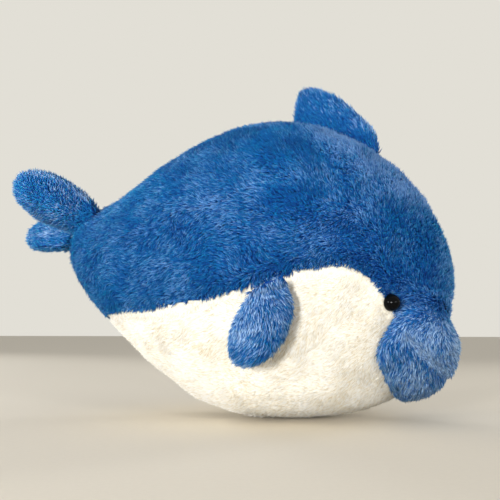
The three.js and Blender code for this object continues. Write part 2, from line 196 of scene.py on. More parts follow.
# The white pile falls towards the front, and is short and flat in the fringe along the blue.
BELLY_FALL = 0.35
BELLY_FRONT = (63 * MM, 113 * MM)
WHITE_FRINGE = (3 * MM, 11 * MM)
BELLY_STAND = 0.3
BELLY_SHADE = 0.6
BELLY_TRIM = 0.5

# No pile grows under an eye's dome. For a little way beyond, it parts, stands up and is shorter.
EYE_CLEAR = 5.0 * MM
EYE_REACH = 14 * MM
EYE_PART = 0.4
EYE_STAND = 0.7
EYE_TRIM = 0.3

# No body pile grows where a limb's or the beak's root lies this close. White keeps further from blue roots.
# On the beak's top the body's pile runs in under it, as far as the tuck.
LIMB_COVER = 0.5 * MM
WHITE_COVER = 3.5 * MM
LIMB_ROOT = 4 * MM
BEAK_COVER = 3 * MM
BEAK_TOP = 68 * MM
BEAK_TOP_COVER = 12 * MM
BEAK_TUCK = 6 * MM
# The pile of a limb or the beak starts this deep in the body's cloth.
ROOT_START = 4 * MM

# The beak's cheeks are full beside the face, and its chin is full. Its top lies under the face, by these
# shares of the inset, less at the sides.
CHEEK_WIDTH = (0, 14 * MM)
CHIN_HEIGHT = (32 * MM, 56 * MM)
TOP_HEIGHT = (50 * MM, 70 * MM)
TOP_SINK = 1.6
SIDE_SINK = 0.3
# Its pile is combed down below the mouth, forward at the front of the upper half and back at its sides. Near
# the face it lies as the face's does.
BEAK_LOW_FLOW = Vector((-0.15, 0.0, -1.0))
BEAK_FRONT_FLOW = Vector((0.8, 0.0, -0.6))
BEAK_SIDE_FLOW = Vector((-0.5, 0.0, -0.9))
BEAK_TOP_FLOW = Vector((-1.0, 0.0, -0.2))
OVER_WIDTH = (0, 18 * MM)
OVER_TURN = 0.8
BEAK_STAND = 0.35
BEAK_SHADE = 0.72
# Under the chin its blue is painted darker, as painted shade, and beside the white its blue is deeper; the
# top fades into the deeper blue of the face.
UNDER_CHIN_SHADE = (8 * MM, 26 * MM)
BESIDE_WHITE = (126 * MM, 146 * MM)
CHIN_SHADE_SIDE_DEEPER = 0.25
BEAK_FADE = (48 * MM, 86 * MM)
FADE_DEEPER = 0.3
# The mouth runs from its corner along its way. Short locks lie with its seam, painted pale as a painted
# sheen, those over it turn aside from it, and those under it are painted darker, as painted shade under the
# lip.
MOUTH_CORNER = 141 * MM
MOUTH_START = (MOUTH_CORNER - 8 * MM, MOUTH_CORNER + 4 * MM)
MOUTH_WAY = Vector((1.0, 0.0, -0.9))
LIP_WIDTH = (1.0 * MM, 3.4 * MM)
LIP_TURN = 0.9
LIP_STAND = 0.8
LIP_SHEEN = 1.1
LIP_TRIM = 0.35
OVER_LIP = (2 * MM, 9 * MM)
UNDER_LIP_SHADE = (3 * MM, 9 * MM)
UNDER_LIP_PAINTED_SHADE = 0.4

# How each kind of limb is shaped and combed.
# inset is the depth of its slack cloth along its hinge, along its span and through it, sewn is how deep its
# root is sewn in, sunk is how far up that shows, and lean is how far forward the root leans.
# trail, tip and spread are the way of its locks along the hinge, out to the tip and aside from its middle
# line, from is the share of its reach where they spread, pile their length as a share of the usual one, and
# stand how they stand.
# tone is its tone over the blade, set deeper on the fin and flukes as painted shade, root how much deeper
# the root is, as painted shade in the crease at the body, end how much deeper the end is, and rim how much
# paler the rim.
LIMB_KINDS = {
    "fin": {
        "inset": (-0.5 * MM, 3 * MM, 3 * MM), "sewn": 9 * MM, "sunk": 16 * MM, "lean": 0.0,
        "trail": -0.9, "tip": 0.5, "spread": 0.0, "from": 0.0, "pile": 1.05, "stand": 0.4,
        "tone": 0.31, "root": 0.4, "end": 0.0, "rim": 0.3},
    "flipper": {
        "inset": (2 * MM, 4 * MM, 3 * MM), "sewn": 6 * MM, "sunk": 9 * MM, "lean": 3.5 * MM,
        "trail": 0.0, "tip": 0.7, "spread": 1.5, "from": 0.5, "pile": 0.85, "stand": 0.5,
        "tone": 0.58, "root": 0.1, "end": 0.22, "rim": 0.1},
    "fluke": {
        "inset": (1.8 * MM, 6 * MM, 3 * MM), "sewn": 8 * MM, "sunk": 13 * MM, "lean": 0.0,
        "trail": 0.0, "tip": 0.7, "spread": 1.4, "from": 0.0, "pile": 1.05, "stand": 0.65,
        "tone": 0.34, "root": 0.4, "end": 0.05, "rim": 0.3},
}
# The left fluke is fuller, bends up and is twisted along its length, with its outer edge up.
LIMB_OWN = {
    "left_fluke": {"inset": (1.8 * MM, 0.5 * MM, 0.5 * MM), "twist": math.radians(22), "bend": 4 * MM},
}
# Out along a limb: where it twists, bends, comes out of the body and stops leaning.
TWIST_SPAN = (4 * MM, 30 * MM)
BEND_SPAN = (4 * MM, 50 * MM)
SUNK_FROM = 2 * MM
LEAN_SPAN = (0, 45 * MM)
# Where its root is painted deeper, as painted shade in the crease at the body, and its rim paler. Then, as
# shares of its reach, where its end is deeper, how far before and after its kind's share its locks spread,
# and where they are longer and make tufts.
ROOT_SHADE_SPAN = (0, 10 * MM)
RIM_WIDTH = (1 * MM, 4 * MM)
END_SHARE = (0.5, 0.75)
SPREAD_BEFORE = 0.1
SPREAD_AFTER = 0.2
TUFT_SHARE = (0.6, 1.0)
TUFT_GAIN = 0.3

# An eye's dome: faces round and up it, the round of its brim, the share of its radius that counts as brim,
# and its shank.
DOME_ROUND = 48
DOME_UP = 32
BRIM_ROUND = 0.5 * MM
BRIM_SHARE = 0.9
SHANK_RADIUS = 2.2 * MM
SHANK_LEAST = 2 * MM
SHANK_ROUND = 24

# A lock, as shares of its length: how far its tip bends over and up, and how high its widest place is.
LOCK_BEND = 0.30
LOCK_TIP = 0.98
LOCK_WIDEST = 0.42
# Locks vary in length between these shares, and their tones stay within these ends of the pile's map.
LOCK_SHORTEST = 0.75
LOCK_LONGEST = 1.2
TONE_LEAST = 0.02
TONE_MOST = 0.98
MAP_HALF_WIDTH = 0.01
# Pressed pile lies this high over the floor. Sideways nothing is held in.
PRESSED_LEAST = (-10, -10, 0.2 * MM)
# How the locks of each pile differ: how far wisps draw together and single locks stray, how their tones
# vary by lock and by wisp, and how far their shading follows the cloth that they stand on.
WISPS = {
    "back": {"gather": 1.5, "stray": 0.4, "fleck": 0.3, "cloud": 0.8, "soft": 0.25},
    "belly": {"gather": 0.6, "stray": 0.3, "fleck": 0.5, "cloud": 0.4, "soft": 0.62},
    "limb": {"gather": 1.1, "stray": 0.32, "fleck": 0.34, "cloud": 0.8, "soft": 0.3},
}
# The body's stretches of pile from tail to head, the shares of its length between them, and the step between
# the seeds of two pieces of pile.
STRETCH_NAMES = ("tail", "rear", "front", "head")
STRETCH_CUTS = (0.38, 0.56, 0.75)
SEED_STEP = 10

# The soft lights: the setting that gives each its power, and its place in metres.
LIGHTS = {
    "key": ("key_power", (-0.5, -2.4, 0.3)),
    "fill_rear": ("fill_power", (-1.75, -1.7, 0.4)),
    "fill_front": ("fill_power", (1.7, -1.7, 0.6)),
    "back_right": ("back_power", (-1.6, 1.6, 0.5)),
    "back_left": ("back_power", (1.6, 1.6, 0.5)),
}


def linear(code):
    """Turns an sRGB hex colour into linear red, green and blue."""
    parts = [int(code[i:i + 2], 16) / 255 for i in (1, 3, 5)]
    return [p / 12.92 if p <= 0.04045 else ((p + 0.055) / 1.055) ** 2.4 for p in parts]


def opaque(colour):
    """Adds a full alpha to a colour."""
    return (*colour, 1.0)


def clamp(value):
    """Keeps a value between 0 and 1."""
    return min(max(value, 0.0), 1.0)


def part_way(start, end, share):
    """Returns the value that lies a share of the way from start to end."""
    return start + (end - start) * share


def ease(low, high, value):
    """Rises smoothly from 0 at low to 1 at high."""
    t = clamp((value - low) / (high - low))
    return t * t * (3 - 2 * t)


def length_setting(name, millimetres, description):
    """Returns a setting for a length."""
    return FloatProperty(name=name, description=description, default=millimetres * MM, unit="LENGTH")


def colour_setting(name, code, description):
    """Returns a setting for a colour, which is written as an sRGB hex value."""
    return FloatVectorProperty(name=name, description=description, default=linear(code), subtype="COLOR")


class ClothSettings(bpy.types.PropertyGroup):
    """Sizes of the stuffed cloth under the pile."""

    body_mesh: length_setting("Body mesh", 6, "Spacing of the body cloth's mesh")
    beak_mesh: length_setting("Beak mesh", 5, "Spacing of the beak cloth's mesh")
    limb_mesh: length_setting("Limb mesh", 3, "Spacing of a limb cloth's mesh")
    body_inset: length_setting("Body inset", 6.3, "Depth of the slack body cloth under the pile's outline")
    firm_inset: length_setting("Firm inset", 3.5, "Depth of the body cloth under the belly and at the tail")
    crease_inset: length_setting("Crease inset", 0, "Depth of the body cloth where the face meets the beak")
    beak_inset: length_setting("Beak inset", 4.5, "Depth of the slack beak cloth under the pile's outline")
    chin_inset: length_setting("Chin inset", 1.5, "Depth of the slack beak cloth at the chin")
    eye_inset: length_setting("Eye inset", 4, "Depth of the body cloth where an eye's washer draws it up")
    mouth_reach: length_setting("Mouth reach", 2, "Width on each side of the mouth that its thread holds in")
    rest_height: length_setting("Rest height", 1.5, "Height of the cloth where the belly lies on the floor")
    pressure: FloatProperty(
        name="Stuffing pressure", description="Pressure of the fibre filling on the cloth", default=4.0)
    body_swell: length_setting("Body swell", 4, "Most that the filling pushes the body cloth out")
    limb_swell: length_setting("Limb swell", 2, "Most that the filling pushes a limb or the beak out")
    seam_reach: length_setting("Seam reach", 3.5, "Width on each side of a seam that the thread holds in")
    backing: length_setting("Backing", 1.2, "Thickness of the knitted cloth that carries the pile")


class PileSettings(bpy.types.PropertyGroup):
    """Sizes of the locks of fibre."""

    back_length: length_setting("Back pile", 5.2, "Length of a lock on the back")
    belly_length: length_setting("Belly pile", 4.2, "Length of a lock on the belly")
    limb_length: length_setting("Limb pile", 5.6, "Length of a lock on a limb or the beak")
    slimness: FloatProperty(
        name="Slimness", description="Half a lock's width as a share of its length", default=0.065)
    body_density: FloatProperty(
        name="Body density", description="Locks on a square millimetre of the body", default=2.04)
    limb_density: FloatProperty(
        name="Limb density", description="Locks on a square millimetre of a limb or the beak", default=2.1)
    clump: length_setting("Clump", 2.8, "Width of the wisps that locks gather in")
    seed: IntProperty(name="Seed", description="Start of every random draw", default=7)


class ColourSettings(bpy.types.PropertyGroup):
    """Colours of the cloth, pile and eyes."""

    back_deep: colour_setting("Back deep", "#002C72", "Blue pile seen end on")
    back_mid: colour_setting("Back mid", "#033E85", "Blue pile at its plain colour")
    back_pale: colour_setting("Back pale", "#4276B4", "Blue pile lying in the light")
    limb_deep: colour_setting("Limb deep", "#003A86", "Limb pile seen end on")
    limb_mid: colour_setting("Limb mid", "#1257A0", "Limb pile at its plain colour")
    limb_pale: colour_setting("Limb pale", "#8CB3E2", "Limb pile lying in the light")
    belly_deep: colour_setting("Belly deep", "#E0CFAB", "White pile in its hollows")
    belly_mid: colour_setting("Belly mid", "#FBF3DF", "White pile at its plain colour")
    belly_pale: colour_setting("Belly pale", "#FFFBF0", "White pile lying in the light")
    eye: colour_setting("Eye", "#060607", "Moulded eye")
    washer: colour_setting("Washer", "#DAD9D3", "Lock washer behind an eye")
    fill: colour_setting("Filling", "#F2F2EF", "Fibre filling")


class StageSettings(bpy.types.PropertyGroup):
    """Floor, light and camera."""

    floor_width: FloatProperty(
        name="Floor", description="Width of the floor", default=12.0, unit="LENGTH")
    floor_colour: colour_setting("Floor colour", "#DED6C6", "Pale floor")
    sky_colour: colour_setting("Background", "#E2DFD6", "Pale background")
    key_power: FloatProperty(
        name="Key", description="Power of the soft light in front", default=5.0, unit="POWER")
    fill_power: FloatProperty(
        name="Fill", description="Power of each of the two soft lights beside it", default=1.5, unit="POWER")
    back_power: FloatProperty(
        name="Back", description="Power of each of the two soft lights behind", default=1.7, unit="POWER")
    light_width: FloatProperty(
        name="Light width", description="Width of each soft light", default=0.45, unit="LENGTH")
    spread: FloatProperty(
        name="Spread", description="Angle of each soft light's beam, which keeps it off the floor below",
        default=math.radians(50), subtype="ANGLE")
    ambient: FloatProperty(name="Ambient", description="Strength of the light from all round", default=0.55)
    azimuth: FloatProperty(
        name="Azimuth", description="Turn of the view from square on to the right side",
        default=math.radians(12), subtype="ANGLE")
    elevation: FloatProperty(
        name="Elevation", description="Tilt of the view, below level where the toy leans back",
        default=math.radians(-6), subtype="ANGLE")
    distance: FloatProperty(
        name="Distance", description="From the camera to its target", default=0.6, unit="LENGTH")
    target: FloatVectorProperty(
        name="Target", description="Point in the middle of the picture",
        default=(19.7 * MM, 0.0, 129.9 * MM), subtype="XYZ", unit="LENGTH")
    lens: FloatProperty(
        name="Lens", description="Focal length on a 36 mm sensor, in millimetres", default=54.0)


SETTINGS = {
    "dolphin_cloth": ClothSettings,
    "dolphin_pile": PileSettings,
    "dolphin_colour": ColourSettings,
    "dolphin_stage": StageSettings,
}


def add_node(tree, kind, inputs=None, **settings):
    """Adds a node, sets it up, and links or fills its inputs."""
    node = tree.nodes.new(kind)
    for name, value in settings.items():
        setattr(node, name, value)
    for name, value in (inputs or {}).items():
        if isinstance(value, bpy.types.NodeSocket):
            tree.links.new(value, node.inputs[name])
        else:
            node.inputs[name].default_value = value
    return node


def new_material(name):
    """Returns a new material and its empty node tree, or the material that has the name and no tree."""
    known = bpy.data.materials.get(name)
    if known:
        return known, None
    material = bpy.data.materials.new(name)
    material.use_nodes = True
    material.node_tree.nodes.clear()
    return material, material.node_tree


def show(tree, shader):
    """Sends a shader to the material's surface."""
    add_node(tree, "ShaderNodeOutputMaterial", {"Surface": shader.outputs[0]})


def set_stops(ramp, stops):
    """Gives a colour ramp its stops, as pairs of place and colour."""
    elements = ramp.color_ramp.elements
    while len(elements) < len(stops):
        elements.new(0.5)
    for element, (place, colour) in zip(elements, stops):
        element.position = place
        element.color = opaque(colour)


def plush_material(name, deep, mid, pale, root_painted_shade, sheen):
    """Polyester plush pile: crimped fibres that look deep end on and pale where they lie in the light.

    A lock's own map gives its tone across and its root to tip along, so each lock keeps one tone.
    """
    material, tree = new_material(name)
    if tree is None:
        return material
    place = add_node(tree, "ShaderNodeUVMap", uv_map=PILE_MAP)
    axes = add_node(tree, "ShaderNodeSeparateXYZ", {"Vector": place.outputs["UV"]})
    tone = add_node(tree, "ShaderNodeValToRGB", {"Fac": axes.outputs["X"]})
    set_stops(tone, [(0.05, deep), (0.5, mid), (0.95, pale)])
    # Each lock is painted darker towards its root, as the painted shade among the locks.
    along = add_node(tree, "ShaderNodeValToRGB", {"Fac": axes.outputs["Y"]})
    set_stops(along, [(0.0, [root_painted_shade] * 3), (0.45, [0.5 + root_painted_shade / 2] * 3), (0.9, [1.0] * 3)])
    mix = add_node(
        tree, "ShaderNodeMix", {0: 1.0, 6: tone.outputs["Color"], 7: along.outputs["Color"]},
        data_type="RGBA", blend_type="MULTIPLY")
    show(tree, add_node(tree, "ShaderNodeBsdfPrincipled", {
        "Base Color": mix.outputs[2],
        "Roughness": 0.75,
        "Specular IOR Level": 0.1,
        "Sheen Weight": sheen,
        "Sheen Roughness": 0.5,
        "Sheen Tint": opaque(pale),
        "Subsurface Weight": 0.5,
        "Subsurface Radius": (1.0, 1.0, 1.0),
        "Subsurface Scale": 0.8 * MM,
    }))
    return material


def backing_material(name, colour, between):
    """Knitted polyester backing: fine loops under the pile, darker between them by the share given."""
    material, tree = new_material(name)
    if tree is None:
        return material
    place = add_node(tree, "ShaderNodeTexCoord").outputs["Object"]
    # Loops are about 0.8 mm apart.
    loops = add_node(tree, "ShaderNodeTexVoronoi", {"Vector": place, "Scale": 1 / (0.8 * MM)})
    shade = add_node(tree, "ShaderNodeValToRGB", {"Fac": loops.outputs["Distance"]})
    set_stops(shade, [(0.0, colour), (0.8, [c * between for c in colour])])
    bump = add_node(tree, "ShaderNodeBump", {
        "Height": loops.outputs["Distance"], "Strength": 0.4, "Distance": 0.3 * MM})
    show(tree, add_node(tree, "ShaderNodeBsdfPrincipled", {
        "Base Color": shade.outputs["Color"],
        "Normal": bump.outputs["Normal"],
        "Roughness": 0.95,
        "Specular IOR Level": 0.1,
    }))
    return material


def fill_material(name, colour):
    """Loose polyester filling: a soft tangle of white fibre."""
    material, tree = new_material(name)
    if tree is None:
        return material
    place = add_node(tree, "ShaderNodeTexCoord").outputs["Object"]
    # Fibres gather in tangles about 4 mm across.
    tangle = add_node(tree, "ShaderNodeTexNoise", {
        "Vector": place, "Scale": 1 / (4 * MM), "Detail": 4.0, "Distortion": 2.0})
    shade = add_node(tree, "ShaderNodeValToRGB", {"Fac": tangle.outputs["Fac"]})
    set_stops(shade, [(0.3, [c * 0.8 for c in colour]), (0.7, colour)])
    bump = add_node(tree, "ShaderNodeBump", {
        "Height": tangle.outputs["Fac"], "Strength": 0.6, "Distance": 1 * MM})
    show(tree, add_node(tree, "ShaderNodeBsdfPrincipled", {
        "Base Color": shade.outputs["Color"],
        "Normal": bump.outputs["Normal"],
        "Roughness": 0.9,
        "Specular IOR Level": 0.15,
    }))
    return material


def moulded_material(name, colour, roughness, gloss, grain):
    """Moulded plastic: one colour with the faint cloud of the melt and a surface as smooth as its tool."""
    material, tree = new_material(name)
    if tree is None:
        return material
    place = add_node(tree, "ShaderNodeTexCoord").outputs["Object"]
    cloud = add_node(tree, "ShaderNodeTexNoise", {"Vector": place, "Scale": 1 / grain, "Detail": 3.0})
    shade = add_node(tree, "ShaderNodeValToRGB", {"Fac": cloud.outputs["Fac"]})
    set_stops(shade, [(0.3, [c * 0.85 for c in colour]), (0.7, colour)])
    wear = add_node(tree, "ShaderNodeMapRange", {
        "Value": cloud.outputs["Fac"], "To Min": roughness, "To Max": roughness * 1.6})
    show(tree, add_node(tree, "ShaderNodeBsdfPrincipled", {
        "Base Color": shade.outputs["Color"],
        "Roughness": wear.outputs["Result"],
        "IOR": 1.5,
        "Specular IOR Level": gloss,
    }))
    return material


def limb_name(limb):
    """Returns the name of a limb's kind."""
    return limb.rsplit("_", 1)[-1]


def limb_ways(limb):
    """Returns how a limb is shaped and combed: as its kind is, apart from what is its own."""
    return {"twist": 0.0, "bend": 0.0, **LIMB_KINDS[limb_name(limb)], **LIMB_OWN.get(limb, {})}


def limb_points(limb):
    """Returns the points of all nodes of a limb."""
    return [v.co for node in LIMBS[limb] for v in frame["nodes"][node].data.vertices]


def limb_axes(limb):
    """Returns a limb's hinge point and its axes: along the hinge, out along the limb, and through it."""
    joint = JOINTS[limb]
    hinge = Vector(joint["pos_m"])
    across = Vector(joint["axis"]).normalized()
    points = limb_points(limb)
    span = sum(points, Vector()) / len(points) - hinge
    span = (span - across * span.dot(across)).normalized()
    return hinge, across, span, across.cross(span)


def surface(*nodes):
    """Returns a search tree of CAD nodes' surfaces."""
    points = []
    faces = []
    for node in nodes:
        mesh = frame["nodes"][node].data
        first = len(points)
        points.extend(v.co.copy() for v in mesh.vertices)
        faces.extend([first + i for i in polygon.vertices] for polygon in mesh.polygons)
    return BVHTree.FromPolygons(points, faces)


def limb_surface(kind):
    """Returns a search tree of the surfaces of all limbs of a kind."""
    return surface(*(node for limb, nodes in LIMBS.items() if limb_name(limb) == kind for node in nodes))


def skin_surface(name):
    """Returns a search tree of a piece's surface."""
    mesh = bpy.data.objects[name].data
    return BVHTree.FromPolygons([v.co for v in mesh.vertices], [face.vertices for face in mesh.polygons])


def depth(tree, point):
    """Returns how far inside a closed surface a point near it lies."""
    near, normal, _, _ = tree.find_nearest(point)
    return (near - point).dot(normal)


def distance(tree, point):
    """Returns the distance from a point to a surface."""
    return tree.find_nearest(point)[3]


def seam_distance(trees, point):
    """Returns the panel that a point belongs to, and its distance from that panel's nearest seam."""
    near = sorted((distance(tree, point), name) for name, tree in trees.items())
    return near[0][1], near[1][0]


def link(name, mesh):
    """Adds an object for a mesh to the scene."""
    obj = bpy.data.objects.new(name, mesh)
    bpy.context.scene.collection.objects.link(obj)
    return obj


def open_mesh(mesh):
    """Returns a bmesh of a mesh."""
    bm = bmesh.new()
    bm.from_mesh(mesh)
    return bm


def close_mesh(bm, mesh):
    """Writes a bmesh to a mesh, frees it and returns the mesh."""
    bm.to_mesh(mesh)
    bm.free()
    return mesh


def settle(obj):
    """Turns an object's modifiers into its mesh."""
    graph = bpy.context.evaluated_depsgraph_get()
    mesh = bpy.data.meshes.new_from_object(obj.evaluated_get(graph), depsgraph=graph)
    loose = obj.data
    obj.modifiers.clear()
    obj.data = mesh
    bpy.data.meshes.remove(loose)
    mesh.name = obj.name


def slack_form(name, nodes, spacing, rounds, hull=False):
    """Returns one smooth closed mesh object around CAD nodes, or their hull, before it is stuffed."""
    bm = bmesh.new()
    for node in nodes:
        bm.from_mesh(frame["nodes"][node].data)
    bmesh.ops.remove_doubles(bm, verts=bm.verts, dist=MERGE_REACH)
    if hull:
        spare = bmesh.ops.convex_hull(bm, input=bm.verts)
        inner = {item for key in ("geom_interior", "geom_unused") for item in spare[key]}
        bmesh.ops.delete(bm, geom=[v for v in inner if isinstance(v, bmesh.types.BMVert)], context="VERTS")
    obj = link(name, close_mesh(bm, bpy.data.meshes.new(name)))
    remesh = obj.modifiers.new("Remesh", "REMESH")
    remesh.mode = "VOXEL"
    remesh.voxel_size = spacing
    settle(obj)
    bm = open_mesh(obj.data)
    for _ in range(rounds):
        for factor in SMOOTH_FACTORS:
            bmesh.ops.smooth_vert(
                bm, verts=bm.verts, factor=factor, use_axis_x=True, use_axis_y=True, use_axis_z=True)
    close_mesh(bm, obj.data)
    return obj


def shrink(obj, depth_at):
    """Moves a closed mesh's surface in along its normals, by the depth that a function gives at a point."""
    bm = open_mesh(obj.data)
    bm.normal_update()
    moves = [(v, v.normal * depth_at(v.co)) for v in bm.verts]
    for v, move in moves:
        v.co -= move
    close_mesh(bm, obj.data)


def stuff(obj, held, pressure, swell):
    """Fills a closed cloth: held points stay, and the rest swells under pressure, by no more than swell."""
    start = [v.co.copy() for v in obj.data.vertices]
    pins = obj.vertex_groups.new(name="held")
    pins.add(held, 1.0, "REPLACE")
    cloth = obj.modifiers.new("Cloth", "CLOTH")
    cloth.settings.vertex_group_mass = "held"
    cloth.settings.use_pressure = True
    cloth.settings.uniform_pressure_force = pressure
    cloth.settings.effector_weights.gravity = 0
    scene = bpy.context.scene
    for step in range(1, STUFF_FRAMES + 1):
        scene.frame_set(step)
    settle(obj)
    scene.frame_set(1)
    obj.vertex_groups.clear()
    for v, place in zip(obj.data.vertices, start):
        move = v.co - place
        if move.length > swell:
            v.co = place + move.normalized() * swell
    divide = obj.modifiers.new("Subdivision", "SUBSURF")
    divide.levels = 1
    divide.render_levels = 1
    settle(obj)


def keep_skin(name, mesh, groom):
    """Keeps a copy of a skin for the pile, with what a groom says of each of its points."""
    skin = mesh.copy()
    skin.name = name + "_skin"
    told = [groom(v.co, v.normal) for v in skin.vertices]
    for field, (key, kind) in enumerate(SKIN_FIELDS.items()):
        layer = skin.attributes.new(key, kind, "POINT")
        for item, row in zip(layer.data, told):
            if kind == "FLOAT_VECTOR":
                item.vector = row[field]
            else:
                item.value = row[field]


def tell(normal, flow, swirl, stand, shade, size, density):
    """Returns what a skin's point tells its pile: a lay along a flow, turned by swirl and raised by stand."""
    along = flow - normal * flow.dot(normal)
    if along.length < 1e-9:
        along = normal.orthogonal()
    along.normalize()
    comb = along * math.cos(swirl) + normal.cross(along) * math.sin(swirl)
    lean = math.radians(LEAN_FLAT - LEAN_RISE * clamp(stand))
    lay = normal * math.cos(lean) + comb * math.sin(lean)
    return lay, comb, size, clamp(shade), density


def eye_places():
    """Returns each eye's middle and the way it looks."""
    places = []
    for eye in EYES:
        back = sum(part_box(eye + "_washer"), Vector()) / 2
        points = [v.co for v in frame["nodes"][eye].data.vertices]
        middle = sum(points, Vector()) / len(points)
        places.append((middle, (middle - back).normalized()))
    return places


def wander(point, change):
    """Returns one of the pile's smooth random changes at a point."""
    return sum(
        strength * noise.noise(point / width + Vector(seed * step for step in NOISE_STEPS))
        for strength, width, seed in CHANGES[change])


def weigh(weights, traits):
    """Adds up the traits of a place by their weights."""
    return sum(weight * traits[trait] for trait, weight in weights.items())


def beside(point):
    """Returns how far a point of the head lies on its side rather than its front."""
    return ease(*HEAD_SIDE, abs(point.y))


def back_flow(point):
    """Returns the way the blue pile is stroked: to the tail, up over back and face, and down at the rear."""
    top = ease(*FLOW_TOP, point.z)
    rear = (1 - ease(*FLOW_REAR, point.x)) * (1 - ease(*FLOW_LOW, point.z))
    face = ease(*FLOW_FACE, point.x)
    return Vector((-1.0, 0.0, TOP_RISE * top - REAR_FALL * rear + FACE_RISE * face))


def back_strands(pile, belly, beak):
    """Returns a function that gives the blue pile's flow, swirl, stand, shade and size at a point."""
    flippers = limb_surface("flipper")
    fin = limb_surface("fin")

    def strands(point):
        patch = max(
            1 - ((point.x - x) ** 2 + (point.z - z) ** 2) / radius ** 2 for x, z, radius in DEEP_PATCHES)
        seam, _, _, seam_gap = belly.find_nearest(point)
        beak_gap = distance(beak, point)
        brow = (1 - ease(*BROW_WIDTH, beak_gap)) * ease(*BROW_HEIGHT, point.z)
        traits = {
            "plain": 1.0,
            # Deep patches are painted darker, as painted shade between upright fibres.
            "deep": ease(*DEEP_EDGE, patch + wander(point, "back_deep")),
            # The top is painted darker, as painted shade.
            "top": ease(*TOP_PAINTED_SHADE, point.z),
            # The rear is painted darker, as painted shade.
            "rear": 1 - ease(*REAR_PAINTED_SHADE, point.x),
            "fringe": 1 - ease(*BLUE_FRINGE, seam_gap),
            "beak": 1 - ease(*BEAK_GLOW, beak_gap),
            "brow": brow,
            # The brow at the sides is painted paler, as painted light that lifts the shade of the crease.
            "brow_side": brow * beside(point),
            # The band round the fin is painted paler, as a painted light band.
            "fin": 1 - ease(*FIN_PAINTED_LIGHT, distance(fin, point)),
            "hang": 1 - ease(*HANG_WIDTH, distance(flippers, point)),
        }
        turns = {trait: turn * traits[trait] for trait, turn in BACK_TURN.items()}
        # Blue locks hang over the seam along the white, lie over the beak as its own do, and hide a
        # flipper's root.
        flow = back_flow(point).lerp((seam - point).normalized(), turns["fringe"])
        flow = flow.normalized().lerp(BEAK_TOP_FLOW, turns["brow_side"])
        flow = flow.lerp(DOWN, turns["hang"])
        swirl = wander(point, "back_swirl")
        swirl *= math.prod(1 - calm * traits[trait] for trait, calm in BACK_CALM.items())
        stand = weigh(BACK_STAND, traits) + wander(point, "back_stand")
        shade = weigh(BACK_SHADE, traits) + wander(point, "back_shade")
        # The painted light band round the fin varies smoothly.
        shade += wander(point, "fin_painted_light") * traits["fin"]
        return flow, swirl, stand, shade, pile.back_length * weigh(BACK_SIZE, traits)

    return strands


def belly_strands(pile, backs):
    """Returns a function that gives the white pile's flow, swirl, stand, shade and size at a point."""
    def strands(point):
        seam, _, _, seam_gap = min((back.find_nearest(point) for back in backs), key=lambda hit: hit[3])
        fringe = 1 - ease(*WHITE_FRINGE, seam_gap)
        flow = Vector((-1.0, 0.0, -BELLY_FALL * ease(*BELLY_FRONT, point.x)))
        flow = flow.lerp((point - seam).normalized(), fringe)
        swirl = wander(point, "belly_swirl")
        stand = (BELLY_STAND + wander(point, "belly_stand")) * (1 - fringe)
        shade = BELLY_SHADE + wander(point, "belly_shade")
        return flow, swirl, stand, shade, pile.belly_length * (1 - BELLY_TRIM * fringe)

    return strands


def body_groom(strands, eyes, covers):
    """Returns the groom of a body panel: its strands, parted round the eyes and left out under the covers."""
    def groom(point, normal):
        flow, swirl, stand, shade, size = strands(point)
        density = 0.0 if any(cover(point) for cover in covers) else 1.0
        for middle, look in eyes:
            out = point - middle
            out = out - look * out.dot(look)
            if out.length < EYE_REACH and (point - middle).length < 2 * EYE_REACH:
                near = 1 - ease(EYE_CLEAR, EYE_REACH, out.length)
                flow = flow.lerp(out.normalized(), EYE_PART * near)
                swirl *= 1 - near
                stand = part_way(stand, EYE_STAND, near)
                size *= 1 - EYE_TRIM * near
                if out.length < EYE_CLEAR:
                    density = 0.0
        return tell(normal, flow, swirl, stand, shade, size, density)

    return groom


def beak_cover(beak):
    """Returns a test of whether the beak covers a point of the body."""
    def covers(point):
        near, normal, _, gap = beak.find_nearest(point)
        if point.z > BEAK_TOP:
            return gap < BEAK_TOP_COVER and (near - point).dot(normal) > BEAK_TUCK
        return gap < BEAK_COVER

    return covers


def root_cover(limb, reach):
    """Returns a test of whether a limb's root lies within reach of a point of the body."""
    hinge, _, span, _ = limb_axes(limb)
    tree = surface(*LIMBS[limb])
    return lambda point: (point - hinge).dot(span) < LIMB_ROOT and distance(tree, point) < reach


def cut_seams(mesh, trees):
    """Moves a skin's edges onto the seams between panels, and returns each face's panel."""
    bm = open_mesh(mesh)
    bmesh.ops.triangulate(bm, faces=bm.faces)
    reach = {v: {panel: distance(tree, v.co) for panel, tree in trees.items()} for v in bm.verts}
    home = {v: min(near, key=near.get) for v, near in reach.items()}
    moves = {}
    for edge in bm.edges:
        a, b = edge.verts
        if home[a] == home[b]:
            continue
        lead = reach[a][home[b]] - reach[a][home[a]]
        trail = reach[b][home[a]] - reach[b][home[b]]
        share = lead / max(lead + trail, 1e-9)
        near, part = (a, share) if share < 0.5 else (b, 1 - share)
        step = part * edge.calc_length()
        if near not in moves or step < moves[near][0]:
            moves[near] = (step, a.co.lerp(b.co, share))
    for v, (_, place) in moves.items():
        v.co = place
    zones = []
    for face in bm.faces:
        inside = [v for v in face.verts if v not in moves]
        if inside:
            zones.append(home[inside[0]])
        else:
            zones.append(seam_distance(trees, face.calc_center_median())[0])
    close_mesh(bm, mesh)
    return zones


def panel_mesh(whole, keep, name):
    """Returns a copy of a mesh with only the faces that are kept."""
    bm = open_mesh(whole)
    bm.faces.ensure_lookup_table()
    bmesh.ops.delete(bm, geom=[face for face, kept in zip(bm.faces, keep) if not kept], context="FACES")
    return close_mesh(bm, bpy.data.meshes.new(name))


